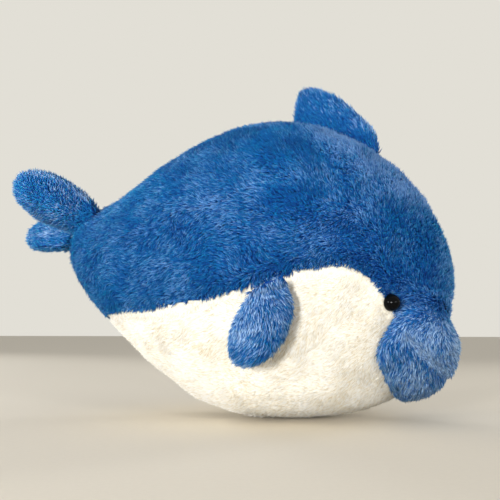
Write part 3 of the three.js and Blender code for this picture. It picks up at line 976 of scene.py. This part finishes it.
def frame_slot(node):
    """Returns a node's material slot in the record."""
    return next(part["material_slot"] for part in frame["record"]["subparts"] if part["node"] == node)


def dress(piece, finish, slot, body, *nodes):
    """Gives a piece its finish and smooth faces, and hides the nodes that it stands for. A piece of the main
    body is set to ride on it; a limb's piece only has its place baked into its mesh. The slot is not used.
    """
    piece.data.materials.clear()
    piece.data.materials.append(finish)
    for face in piece.data.polygons:
        face.use_smooth = True
    if nodes:
        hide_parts(*nodes)
    if body == "body":
        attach(piece, body)
        return
    hinge, _, span, _ = limb_axes(body)
    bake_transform(piece)
    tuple(hinge)


class DOLPHIN_OT_body(bpy.types.Operator):
    """Makes the stuffed body: its filling and the three cloth panels sewn round it"""

    bl_idname = "dolphin.body"
    bl_label = "Body"

    def execute(self, context):
        cloth = context.scene.dolphin_cloth
        pile = context.scene.dolphin_pile
        colour = context.scene.dolphin_colour
        trees = {panel: surface(node) for panel, node in PANELS.items()}
        beak = surface(*BEAK_HALVES)
        body = slack_form("body_padding", [*PANELS.values(), "body_stuffing"], cloth.body_mesh, BODY_ROUNDS)
        eyes = eye_places()

        def body_depth(point):
            near = min((point - middle).length for middle, _ in eyes)
            inset = part_way(cloth.eye_inset, cloth.body_inset, ease(*EYE_DRAW, near))
            firm = max(1 - ease(*BELLY_FIRM, point.z), 1 - ease(*TAIL_FIRM, point.x))
            inset = part_way(inset, cloth.firm_inset, firm)
            # The face is full where it meets the top of the beak at the sides.
            crease = (1 - ease(*CREASE_WIDTH, distance(beak, point))) * ease(*CREASE_HEIGHT, point.z)
            crease *= beside(point) * ease(*CREASE_EYE, near)
            return part_way(inset, cloth.crease_inset, crease)

        shrink(body, body_depth)
        held = [v.index for v in body.data.vertices if seam_distance(trees, v.co)[1] < cloth.seam_reach]
        stuff(body, held, cloth.pressure, cloth.body_swell)
        for v in body.data.vertices:
            v.co.z = max(v.co.z, cloth.rest_height)
        zones = cut_seams(body.data, trees)
        for panel, node in PANELS.items():
            if panel == "belly":
                strands = belly_strands(pile, [tree for name, tree in trees.items() if name != panel])
                finish = backing_material("knitted_cream_backing", colour.belly_mid, between=0.85)
                reach = WHITE_COVER
            else:
                strands = back_strands(pile, trees["belly"], beak)
                finish = backing_material("knitted_blue_backing", colour.back_deep, between=0.5)
                reach = LIMB_COVER
            covers = [root_cover(limb, reach) for limb in LIMBS]
            covers.append(beak_cover(beak))
            mesh = panel_mesh(body.data, [zone == panel for zone in zones], panel + "_cloth")
            keep_skin(panel, mesh, body_groom(strands, eyes, covers))
            piece = link(panel + "_cloth", mesh)
            wall = piece.modifiers.new("Backing", "SOLIDIFY")
            wall.thickness = cloth.backing
            wall.offset = -1
            settle(piece)
            dress(piece, finish, frame_slot(node), "body", node)
        shrink(body, lambda point: cloth.backing + FILLING_GAP)
        filling = fill_material("loose_polyester_filling", colour.fill)
        dress(body, filling, "fibre_fill", "body", "body_stuffing")
        return {"FINISHED"}


def beak_groom(pile, trees, face, body):
    """Returns the groom of the beak, with the mouth's line across it."""
    def groom(point, normal):
        half, seam = seam_distance(trees, point)
        upper = half == "upper_beak_cover"
        side = beside(point)
        mouth = ease(*MOUTH_START, point.x)
        lip = (1 - ease(*LIP_WIDTH, seam)) * mouth
        aside = (1 - ease(*OVER_LIP, seam)) * mouth if upper else lip
        over = (1 - ease(*OVER_WIDTH, distance(face, point))) * ease(*TOP_HEIGHT, point.z)
        flow = BEAK_FRONT_FLOW.lerp(BEAK_SIDE_FLOW, side) if upper else BEAK_LOW_FLOW
        flow = flow.lerp(BEAK_TOP_FLOW, OVER_TURN * over * side)
        flow = flow.normalized().lerp(MOUTH_WAY, LIP_TURN * aside)
        swirl = wander(point, "beak_swirl") * (1 - aside)
        stand = (BEAK_STAND + wander(point, "beak_stand")) * (1 - LIP_STAND * lip)
        shade = BEAK_SHADE + wander(point, "beak_shade")
        # Darker under the chin as painted shade, and darker beside the white.
        shade -= CHIN_SHADE_SIDE_DEEPER * max(1 - ease(*UNDER_CHIN_SHADE, point.z), 1 - ease(*BESIDE_WHITE, point.x))
        shade -= FADE_DEEPER * ease(*BEAK_FADE, point.z)
        # The lip's locks are painted pale, as a painted sheen along the seam.
        shade = part_way(shade, LIP_SHEEN, lip)
        # Under the lip the pile is painted darker, as painted shade.
        if not upper:
            shade -= UNDER_LIP_PAINTED_SHADE * (1 - ease(*UNDER_LIP_SHADE, seam)) * (mouth - lip)
        size = pile.limb_length * (1 - LIP_TRIM * lip)
        density = 0.0 if depth(body, point) > ROOT_START else 1.0 + lip
        return tell(normal, flow, swirl, stand, shade, size, density)

    return groom


class DOLPHIN_OT_beak(bpy.types.Operator):
    """Makes the stuffed beak with the mouth sewn across it"""

    bl_idname = "dolphin.beak"
    bl_label = "Beak"

    def execute(self, context):
        cloth = context.scene.dolphin_cloth
        pile = context.scene.dolphin_pile
        colour = context.scene.dolphin_colour
        trees = {half: surface(half) for half in BEAK_HALVES}
        beak = slack_form("beak_cloth", BEAK_HALVES, cloth.beak_mesh, BEAK_ROUNDS, hull=True)
        face = surface(*PANELS.values())

        def beak_depth(point):
            # The cheeks and chin are full, and the top lies under the face.
            cheek = ease(*CHEEK_WIDTH, distance(face, point))
            sunk = part_way(cheek, TOP_SINK - SIDE_SINK * beside(point), ease(*TOP_HEIGHT, point.z))
            chin = 1 - ease(*CHIN_HEIGHT, point.z)
            return sunk * part_way(cloth.beak_inset, cloth.chin_inset, chin)

        shrink(beak, beak_depth)
        held = [
            v.index for v in beak.data.vertices
            if v.co.x > MOUTH_CORNER and seam_distance(trees, v.co)[1] < cloth.mouth_reach]
        stuff(beak, held, cloth.pressure, cloth.limb_swell)
        keep_skin("beak", beak.data, beak_groom(pile, trees, face, skin_surface("body_padding")))
        finish = backing_material("knitted_pale_blue_backing", colour.limb_deep, between=0.7)
        dress(beak, finish, "limb_plush", "body", *BEAK_HALVES, "beak_stuffing")
        return {"FINISHED"}


def narrow(obj, hinge, axes, kind, inward):
    """Scales a limb so that each side lies deeper by its inset, twists it, and sews its root to the body."""
    place = Matrix(axes).to_4x4() @ Matrix.Translation(-hinge)
    points = [place @ v.co for v in obj.data.vertices]
    low = [min(p[i] for p in points) for i in range(3)]
    high = [max(p[i] for p in points) for i in range(3)]
    size = [high[i] - low[i] for i in range(3)]
    inset = kind["inset"]
    middle = [(low[0] + high[0]) / 2, low[1], (low[2] + high[2]) / 2]
    shares = [1 - 2 * inset[0] / size[0], 1 - inset[1] / size[1], 1 - 2 * inset[2] / size[2]]
    back = place.inverted()
    for v, p in zip(obj.data.vertices, points):
        spot = Vector(middle[i] + (p[i] - middle[i]) * shares[i] for i in range(3))
        spot.z += math.sin(kind["twist"] * ease(*TWIST_SPAN, p[1])) * (spot.x - middle[0])
        spot.z += kind["bend"] * ease(*BEND_SPAN, p[1])
        v.co = back @ spot
        v.co += inward * kind["sewn"] * (1 - ease(SUNK_FROM, kind["sunk"], p[1]))
        v.co.x += kind["lean"] * (1 - ease(*LEAN_SPAN, p[1]))


def limb_groom(pile, limb, trees, body):
    """Returns the groom of a limb, combed as its kind is."""
    hinge, across, span, _ = limb_axes(limb)
    kind = limb_ways(limb)
    points = [point - hinge for point in limb_points(limb)]
    half = max(abs(p.dot(across)) for p in points)
    reach = max(p.dot(span) for p in points)

    def groom(point, normal):
        out = (point - hinge).dot(span)
        aside = (point - hinge).dot(across) / half
        fan = ease(kind["from"] - SPREAD_BEFORE, kind["from"] + SPREAD_AFTER, out / reach)
        flow = across * (kind["trail"] + kind["spread"] * aside * fan) + span * kind["tip"]
        swirl = wander(point, "limb_swirl")
        stand = kind["stand"] + wander(point, "limb_stand")
        # The fin's and flukes' deeper tones are painted shade.
        shade = kind["tone"] + wander(point, "limb_shade")
        # The root is painted deeper, as painted shade in the crease at the body.
        shade -= kind["root"] * (1 - ease(*ROOT_SHADE_SPAN, out)) + kind["end"] * ease(*END_SHARE, out / reach)
        shade += kind["rim"] * (1 - ease(*RIM_WIDTH, seam_distance(trees, point)[1]))
        size = pile.limb_length * kind["pile"] * (1 + TUFT_GAIN * ease(*TUFT_SHARE, out / reach))
        density = 0.0 if depth(body, point) > ROOT_START else 1.0
        return tell(normal, flow, swirl, stand, shade, size, density)

    return groom


class DOLPHIN_OT_limbs(bpy.types.Operator):
    """Makes the stuffed fin, flippers and flukes"""

    bl_idname = "dolphin.limbs"
    bl_label = "Limbs"

    def execute(self, context):
        cloth = context.scene.dolphin_cloth
        pile = context.scene.dolphin_pile
        colour = context.scene.dolphin_colour
        finish = backing_material("knitted_pale_blue_backing", colour.limb_deep, between=0.7)
        body = skin_surface("body_padding")
        for limb, nodes in LIMBS.items():
            trees = {node: surface(node) for node in nodes if node.endswith("cover")}
            form = slack_form(limb + "_cloth", nodes, cloth.limb_mesh, LIMB_ROUNDS)
            hinge, *axes = limb_axes(limb)
            inward = -body.find_nearest(hinge)[1]
            narrow(form, hinge, axes, limb_ways(limb), inward)
            held = [v.index for v in form.data.vertices if seam_distance(trees, v.co)[1] < cloth.seam_reach]
            stuff(form, held, cloth.pressure, cloth.limb_swell)
            keep_skin(limb, form.data, limb_groom(pile, limb, trees, body))
            dress(form, finish, "limb_plush", limb, *nodes)
        return {"FINISHED"}


def eye_mesh(name, radius, rise, shank, place):
    """Returns the mesh of an eye, a dome with a rounded brim on a shank, moved to its place."""
    bm = bmesh.new()
    bmesh.ops.create_uvsphere(bm, u_segments=DOME_ROUND, v_segments=DOME_UP, radius=1.0)
    bmesh.ops.scale(bm, vec=(radius, radius, rise), verts=bm.verts)
    cut = bmesh.ops.bisect_plane(
        bm, geom=[*bm.verts, *bm.edges, *bm.faces], plane_co=(0, 0, 0), plane_no=(0, 0, 1), clear_inner=True)
    brim = [item for item in cut["geom_cut"] if isinstance(item, bmesh.types.BMEdge)]
    bmesh.ops.edgeloop_fill(bm, edges=brim)
    bmesh.ops.bevel(bm, geom=brim, offset=BRIM_ROUND, affect="EDGES", segments=3, profile=0.5, material=-1)
    bmesh.ops.create_cone(
        bm, cap_ends=True, segments=SHANK_ROUND, radius1=SHANK_RADIUS, radius2=SHANK_RADIUS, depth=shank,
        matrix=Matrix.Translation((0, 0, -shank / 2)))
    bmesh.ops.transform(bm, matrix=place, verts=bm.verts)
    bmesh.ops.recalc_face_normals(bm, faces=bm.faces)
    return close_mesh(bm, bpy.data.meshes.new(name))


class DOLPHIN_OT_eyes(bpy.types.Operator):
    """Makes the domed eyes, and finishes the washers that hold them"""

    bl_idname = "dolphin.eyes"
    bl_label = "Eyes"

    def execute(self, context):
        colour = context.scene.dolphin_colour
        glossy = moulded_material(
            "polished_black_plastic", colour.eye, roughness=0.05, gloss=0.07, grain=3 * MM)
        matt = moulded_material(
            "moulded_white_plastic", colour.washer, roughness=0.45, gloss=0.5, grain=3 * MM)
        for eye, (middle, look) in zip(EYES, eye_places()):
            points = [v.co - middle for v in frame["nodes"][eye].data.vertices]
            depths = [point.dot(look) for point in points]
            widths = [(point - look * d).length for point, d in zip(points, depths)]
            radius = max(widths)
            brim = min(d for d, width in zip(depths, widths) if width > BRIM_SHARE * radius)
            shank = max(brim - min(depths), SHANK_LEAST)
            turn = Vector((0, 0, 1)).rotation_difference(look).to_matrix().to_4x4()
            place = Matrix.Translation(middle + look * brim) @ turn
            mesh = eye_mesh(eye + "_dome", radius, max(depths) - brim, shank, place)
            dress(link(eye + "_dome", mesh), glossy, "eye_plastic", "body", eye)
            washer = frame["nodes"][eye + "_washer"]
            washer.data.materials.clear()
            washer.data.materials.append(matt)
        return {"FINISHED"}


def lock_object(slimness):
    """Returns one lock of fibre of unit length: a bent spindle with its root at the origin."""
    # Root, tip and the two shoulders make a thin closed leaf of four faces.
    places = (
        (0, 0, 0, 0),
        (LOCK_BEND, 0, LOCK_TIP, 0),
        (0, slimness, LOCK_WIDEST, 1),
        (0, -slimness, LOCK_WIDEST, -1),
    )
    bm = bmesh.new()
    across = bm.verts.layers.float.new("across")
    along = bm.verts.layers.float.new("along")
    for x, y, z, side in places:
        point = bm.verts.new((x, y, z))
        point[along] = z / LOCK_TIP
        point[across] = side
    bmesh.ops.convex_hull(bm, input=bm.verts)
    bmesh.ops.recalc_face_normals(bm, faces=bm.faces)
    for face in bm.faces:
        face.smooth = True
    return link("lock", close_mesh(bm, bpy.data.meshes.new("lock")))


def pile_graph(lock, density, clump, ways, seed):
    """Returns a node group that grows locks on a skin, by what the skin's points say."""
    tree = bpy.data.node_groups.new("pile", "GeometryNodeTree")
    for way in ("INPUT", "OUTPUT"):
        tree.interface.new_socket("Geometry", in_out=way, socket_type="NodeSocketGeometry")
    skin = add_node(tree, "NodeGroupInput").outputs[0]
    told = {
        key: add_node(tree, "GeometryNodeInputNamedAttribute", {"Name": key}, data_type=kind).outputs[0]
        for key, kind in SKIN_FIELDS.items()
    }
    amount = add_node(
        tree, "ShaderNodeMath", {0: told["density"], 1: density * PER_SQUARE_MM}, operation="MULTIPLY")
    roots = add_node(tree, "GeometryNodeDistributePointsOnFaces", {
        "Mesh": skin, "Density": amount.outputs[0], "Seed": seed})
    # Locks that stand together lean the same way and share a tone, as wisps.
    wisps = add_node(tree, "ShaderNodeTexNoise", {"Scale": 1 / clump, "Detail": 1.0})
    gather = add_node(
        tree, "ShaderNodeVectorMath", {0: wisps.outputs["Color"], 1: (0.5, 0.5, 0.5)}, operation="SUBTRACT")
    gather = add_node(
        tree, "ShaderNodeVectorMath", {0: gather.outputs[0], 3: ways["gather"]}, operation="SCALE")
    stray = add_node(tree, "FunctionNodeRandomValue", {
        0: (-ways["stray"],) * 3, 1: (ways["stray"],) * 3, 8: seed + 1}, data_type="FLOAT_VECTOR")
    lay = add_node(tree, "ShaderNodeVectorMath", {0: told["lay"], 1: gather.outputs[0]}, operation="ADD")
    lay = add_node(tree, "ShaderNodeVectorMath", {0: lay.outputs[0], 1: stray.outputs[0]}, operation="ADD")
    turn = add_node(tree, "FunctionNodeAxesToRotation", {0: lay.outputs[0], 1: told["comb"]})
    vary = add_node(
        tree, "FunctionNodeRandomValue", {2: LOCK_SHORTEST, 3: LOCK_LONGEST, 8: seed + 2}, data_type="FLOAT")
    size = add_node(
        tree, "ShaderNodeMath", {0: told["pile_length"], 1: vary.outputs[1]}, operation="MULTIPLY")
    locks = add_node(tree, "GeometryNodeObjectInfo", {"Object": lock})
    grown = add_node(tree, "GeometryNodeInstanceOnPoints", {
        "Points": roots.outputs["Points"], "Instance": locks.outputs["Geometry"],
        "Rotation": turn.outputs[0], "Scale": size.outputs[0]})
    fleck = add_node(tree, "FunctionNodeRandomValue", {
        2: -ways["fleck"], 3: ways["fleck"], 8: seed + 3}, data_type="FLOAT")
    tone = add_node(tree, "ShaderNodeMath", {0: told["shade"], 1: fleck.outputs[1]}, operation="ADD")
    tone = add_node(tree, "ShaderNodeMath", {
        0: wisps.outputs["Fac"], 1: ways["cloud"], 2: tone.outputs[0]}, operation="MULTIPLY_ADD")
    tone = add_node(tree, "ShaderNodeMath", {0: tone.outputs[0], 1: ways["cloud"] / 2}, operation="SUBTRACT")
    tone = add_node(
        tree, "ShaderNodeClamp", {"Value": tone.outputs[0], "Min": TONE_LEAST, "Max": TONE_MOST})
    toned = add_node(tree, "GeometryNodeStoreNamedAttribute", {
        "Geometry": grown.outputs[0], "Name": "tone", "Value": tone.outputs[0]},
        data_type="FLOAT", domain="INSTANCE")
    raised = add_node(tree, "GeometryNodeStoreNamedAttribute", {
        "Geometry": toned.outputs[0], "Name": "up", "Value": roots.outputs["Normal"]},
        data_type="FLOAT_VECTOR", domain="INSTANCE")
    real = add_node(tree, "GeometryNodeRealizeInstances", {"Geometry": raised.outputs[0]})
    marks = {
        key: add_node(tree, "GeometryNodeInputNamedAttribute", {"Name": key}, data_type="FLOAT").outputs[0]
        for key in ("tone", "across", "along")
    }
    wide = add_node(tree, "ShaderNodeMath", {
        0: marks["across"], 1: MAP_HALF_WIDTH, 2: marks["tone"]}, operation="MULTIPLY_ADD")
    chart = add_node(tree, "ShaderNodeCombineXYZ", {"X": wide.outputs[0], "Y": marks["along"]})
    mapped = add_node(tree, "GeometryNodeStoreNamedAttribute", {
        "Geometry": real.outputs[0], "Name": PILE_MAP, "Value": chart.outputs[0]},
        data_type="FLOAT2", domain="CORNER")
    # Pile under the belly is pressed flat on what the toy lies on.
    place = add_node(tree, "GeometryNodeInputPosition")
    pressed = add_node(
        tree, "ShaderNodeVectorMath", {0: place.outputs[0], 1: PRESSED_LEAST}, operation="MAXIMUM")
    laid = add_node(tree, "GeometryNodeSetPosition", {
        "Geometry": mapped.outputs[0], "Position": pressed.outputs[0]})
    # Light passes through thin fibres, so a lock takes part of its shading from the cloth under it.
    own = add_node(tree, "GeometryNodeInputNormal")
    up = add_node(tree, "GeometryNodeInputNamedAttribute", {"Name": "up"}, data_type="FLOAT_VECTOR")
    facing = add_node(tree, "ShaderNodeMix", {
        0: ways["soft"], 4: own.outputs[0], 5: up.outputs[0]}, data_type="VECTOR")
    softened = add_node(tree, "GeometryNodeSetMeshNormal", {
        "Mesh": laid.outputs[0], "Custom Normal": facing.outputs[1]}, mode="TANGENT_SPACE", domain="POINT")
    add_node(tree, "NodeGroupOutput", {0: softened.outputs[0]})
    return tree


def stretches():
    """Returns the body's stretches of pile from tail to head, each with its ends along the body."""
    low = min(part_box(node)[0].x for node in PANELS.values())
    high = max(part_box(node)[1].x for node in PANELS.values())
    ends = [-math.inf, *(part_way(low, high, share) for share in STRETCH_CUTS), math.inf]
    return dict(zip(STRETCH_NAMES, zip(ends, ends[1:])))


STRETCHES = stretches()


def grow_pile(settings, skin, name, density, wisps, seed):
    """Grows the pile of one skin, and returns it as a piece."""
    lock = lock_object(settings.slimness)
    piece = link(name, skin)
    grow = piece.modifiers.new("Pile", "NODES")
    grow.node_group = pile_graph(lock, density, settings.clump, wisps, settings.seed + seed)
    settle(piece)
    template = lock.data
    bpy.data.objects.remove(lock)
    bpy.data.meshes.remove(template)
    for layer in (*SKIN_FIELDS, "tone", "up", "across", "along"):
        spare = piece.data.attributes.get(layer)
        if spare:
            piece.data.attributes.remove(spare)
    return piece


class DOLPHIN_OT_pile(bpy.types.Operator):
    """Grows the pile on the body, the beak and the limbs"""

    bl_idname = "dolphin.pile"
    bl_label = "Pile"

    def execute(self, context):
        pile = context.scene.dolphin_pile
        colour = context.scene.dolphin_colour
        back = plush_material(
            "polyester_plush_blue", colour.back_deep, colour.back_mid, colour.back_pale,
            root_painted_shade=0.42, sheen=0.12)
        limb = plush_material(
            "polyester_plush_pale_blue", colour.limb_deep, colour.limb_mid, colour.limb_pale,
            root_painted_shade=0.45, sheen=0.2)
        belly = plush_material(
            "polyester_plush_cream", colour.belly_deep, colour.belly_mid, colour.belly_pale,
            root_painted_shade=0.98, sheen=0.3)
        seed = 0
        for panel, node in PANELS.items():
            finish, wisps = (belly, WISPS["belly"]) if panel == "belly" else (back, WISPS["back"])
            whole = bpy.data.meshes[panel + "_skin"]
            for stretch, (rear, front) in STRETCHES.items():
                name = f"{panel}_{stretch}_pile"
                keep = [rear <= face.center.x < front for face in whole.polygons]
                skin = panel_mesh(whole, keep, name)
                piece = grow_pile(pile, skin, name, pile.body_density, wisps, seed)
                dress(piece, finish, frame_slot(node), "body")
                seed += SEED_STEP
            bpy.data.meshes.remove(whole)
        for part in ("beak", *LIMBS):
            skin = bpy.data.meshes[part + "_skin"]
            piece = grow_pile(pile, skin, part + "_pile", pile.limb_density, WISPS["limb"], seed)
            dress(piece, limb, "limb_plush", "body" if part == "beak" else part)
            seed += SEED_STEP
        return {"FINISHED"}


def floor_material(colour):
    """Pale painted board: even and matt, with a faint roller stipple."""
    material, tree = new_material("matt_painted_board")
    if tree is None:
        return material
    place = add_node(tree, "ShaderNodeTexCoord").outputs["Object"]
    # The stipple is about 3 mm across.
    stipple = add_node(tree, "ShaderNodeTexNoise", {"Vector": place, "Scale": 1 / (3 * MM), "Detail": 2.0})
    shade = add_node(tree, "ShaderNodeValToRGB", {"Fac": stipple.outputs["Fac"]})
    set_stops(shade, [(0.3, [c * 0.98 for c in colour]), (0.7, colour)])
    show(tree, add_node(tree, "ShaderNodeBsdfPrincipled", {
        "Base Color": shade.outputs["Color"], "Roughness": 0.9, "Specular IOR Level": 0.1}))
    return material


def pale_world(colour, ambient):
    """Returns a world that looks pale to the camera and in gloss, and lights at the ambient strength."""
    world = bpy.data.worlds.new("pale_studio")
    world.use_nodes = True
    tree = world.node_tree
    tree.nodes.clear()
    path = add_node(tree, "ShaderNodeLightPath")
    seen = path.outputs["Is Camera Ray"]
    for way in ("Is Glossy Ray", "Is Transmission Ray"):
        either = add_node(tree, "ShaderNodeMath", {0: seen, 1: path.outputs[way]}, operation="MAXIMUM")
        seen = either.outputs[0]
    light = add_node(tree, "ShaderNodeBackground", {"Color": (1, 1, 1, 1), "Strength": ambient})
    view = add_node(tree, "ShaderNodeBackground", {"Color": opaque(colour), "Strength": 1.0})
    mix = add_node(tree, "ShaderNodeMixShader", {0: seen, 1: light.outputs[0], 2: view.outputs[0]})
    add_node(tree, "ShaderNodeOutputWorld", {"Surface": mix.outputs[0]})
    return world


def add_light(name, stage, power, place):
    """Adds a square soft light that faces the stage's target."""
    lamp = bpy.data.lights.new(name, "AREA")
    lamp.energy = power
    lamp.size = stage.light_width
    lamp.spread = stage.spread
    obj = bpy.data.objects.new(name, lamp)
    obj.location = place
    obj.rotation_euler = (Vector(stage.target) - place).to_track_quat("-Z", "Y").to_euler()
    bpy.context.scene.collection.objects.link(obj)


class DOLPHIN_OT_stage(bpy.types.Operator):
    """Makes the floor, the soft light, the pale background and the camera"""

    bl_idname = "dolphin.stage"
    bl_label = "Stage"

    def execute(self, context):
        scene = context.scene
        stage = scene.dolphin_stage
        bm = bmesh.new()
        bmesh.ops.create_grid(bm, x_segments=1, y_segments=1, size=stage.floor_width / 2)
        floor = link("floor", close_mesh(bm, bpy.data.meshes.new("floor")))
        floor.data.materials.append(floor_material(stage.floor_colour))
        scene.world = pale_world(stage.sky_colour, stage.ambient)
        for name, (power, place) in LIGHTS.items():
            add_light(name, stage, getattr(stage, power), Vector(place))
        camera = bpy.data.objects.new("camera", bpy.data.cameras.new("camera"))
        camera.data.lens = stage.lens
        camera.data.clip_start = 10 * MM
        away = Vector((
            math.sin(stage.azimuth) * math.cos(stage.elevation),
            -math.cos(stage.azimuth) * math.cos(stage.elevation),
            math.sin(stage.elevation),
        ))
        camera.location = Vector(stage.target) + away * stage.distance
        camera.rotation_euler = (-away).to_track_quat("-Z", "Y").to_euler()
        scene.collection.objects.link(camera)
        scene.camera = camera
        scene.view_settings.view_transform = "Standard"
        return {"FINISHED"}


STEPS = (
    DOLPHIN_OT_stage,
    DOLPHIN_OT_body,
    DOLPHIN_OT_beak,
    DOLPHIN_OT_limbs,
    DOLPHIN_OT_eyes,
    DOLPHIN_OT_pile,
)


class DOLPHIN_PT_parts(bpy.types.Panel):
    """Lists the steps that make the dolphin, and their settings"""

    bl_label = "Plush dolphin"
    bl_idname = "DOLPHIN_PT_parts"
    bl_space_type = "VIEW_3D"
    bl_region_type = "UI"
    bl_category = "Dolphin"

    def draw(self, context):
        for step in STEPS:
            self.layout.operator(step.bl_idname)
        for group in SETTINGS:
            settings = getattr(context.scene, group)
            for key in settings.bl_rna.properties.keys():
                if key not in ("rna_type", "name"):
                    self.layout.prop(settings, key)


def register():
    """Registers the settings, the steps and the panel."""
    for group, kind in SETTINGS.items():
        bpy.utils.register_class(kind)
        setattr(bpy.types.Scene, group, PointerProperty(type=kind))
    for step in (*STEPS, DOLPHIN_PT_parts):
        bpy.utils.register_class(step)


def unregister():
    """Takes the panel, the steps and the settings out again."""
    for step in (DOLPHIN_PT_parts, *reversed(STEPS)):
        bpy.utils.unregister_class(step)
    for group, kind in SETTINGS.items():
        delattr(bpy.types.Scene, group)
        bpy.utils.unregister_class(kind)


def main():
    """Makes the whole dolphin on its stage."""
    register()
    bpy.ops.dolphin.stage()
    bpy.ops.dolphin.body()
    bpy.ops.dolphin.beak()
    bpy.ops.dolphin.limbs()
    bpy.ops.dolphin.eyes()
    bpy.ops.dolphin.pile()


if __name__ == "__main__":
    main()
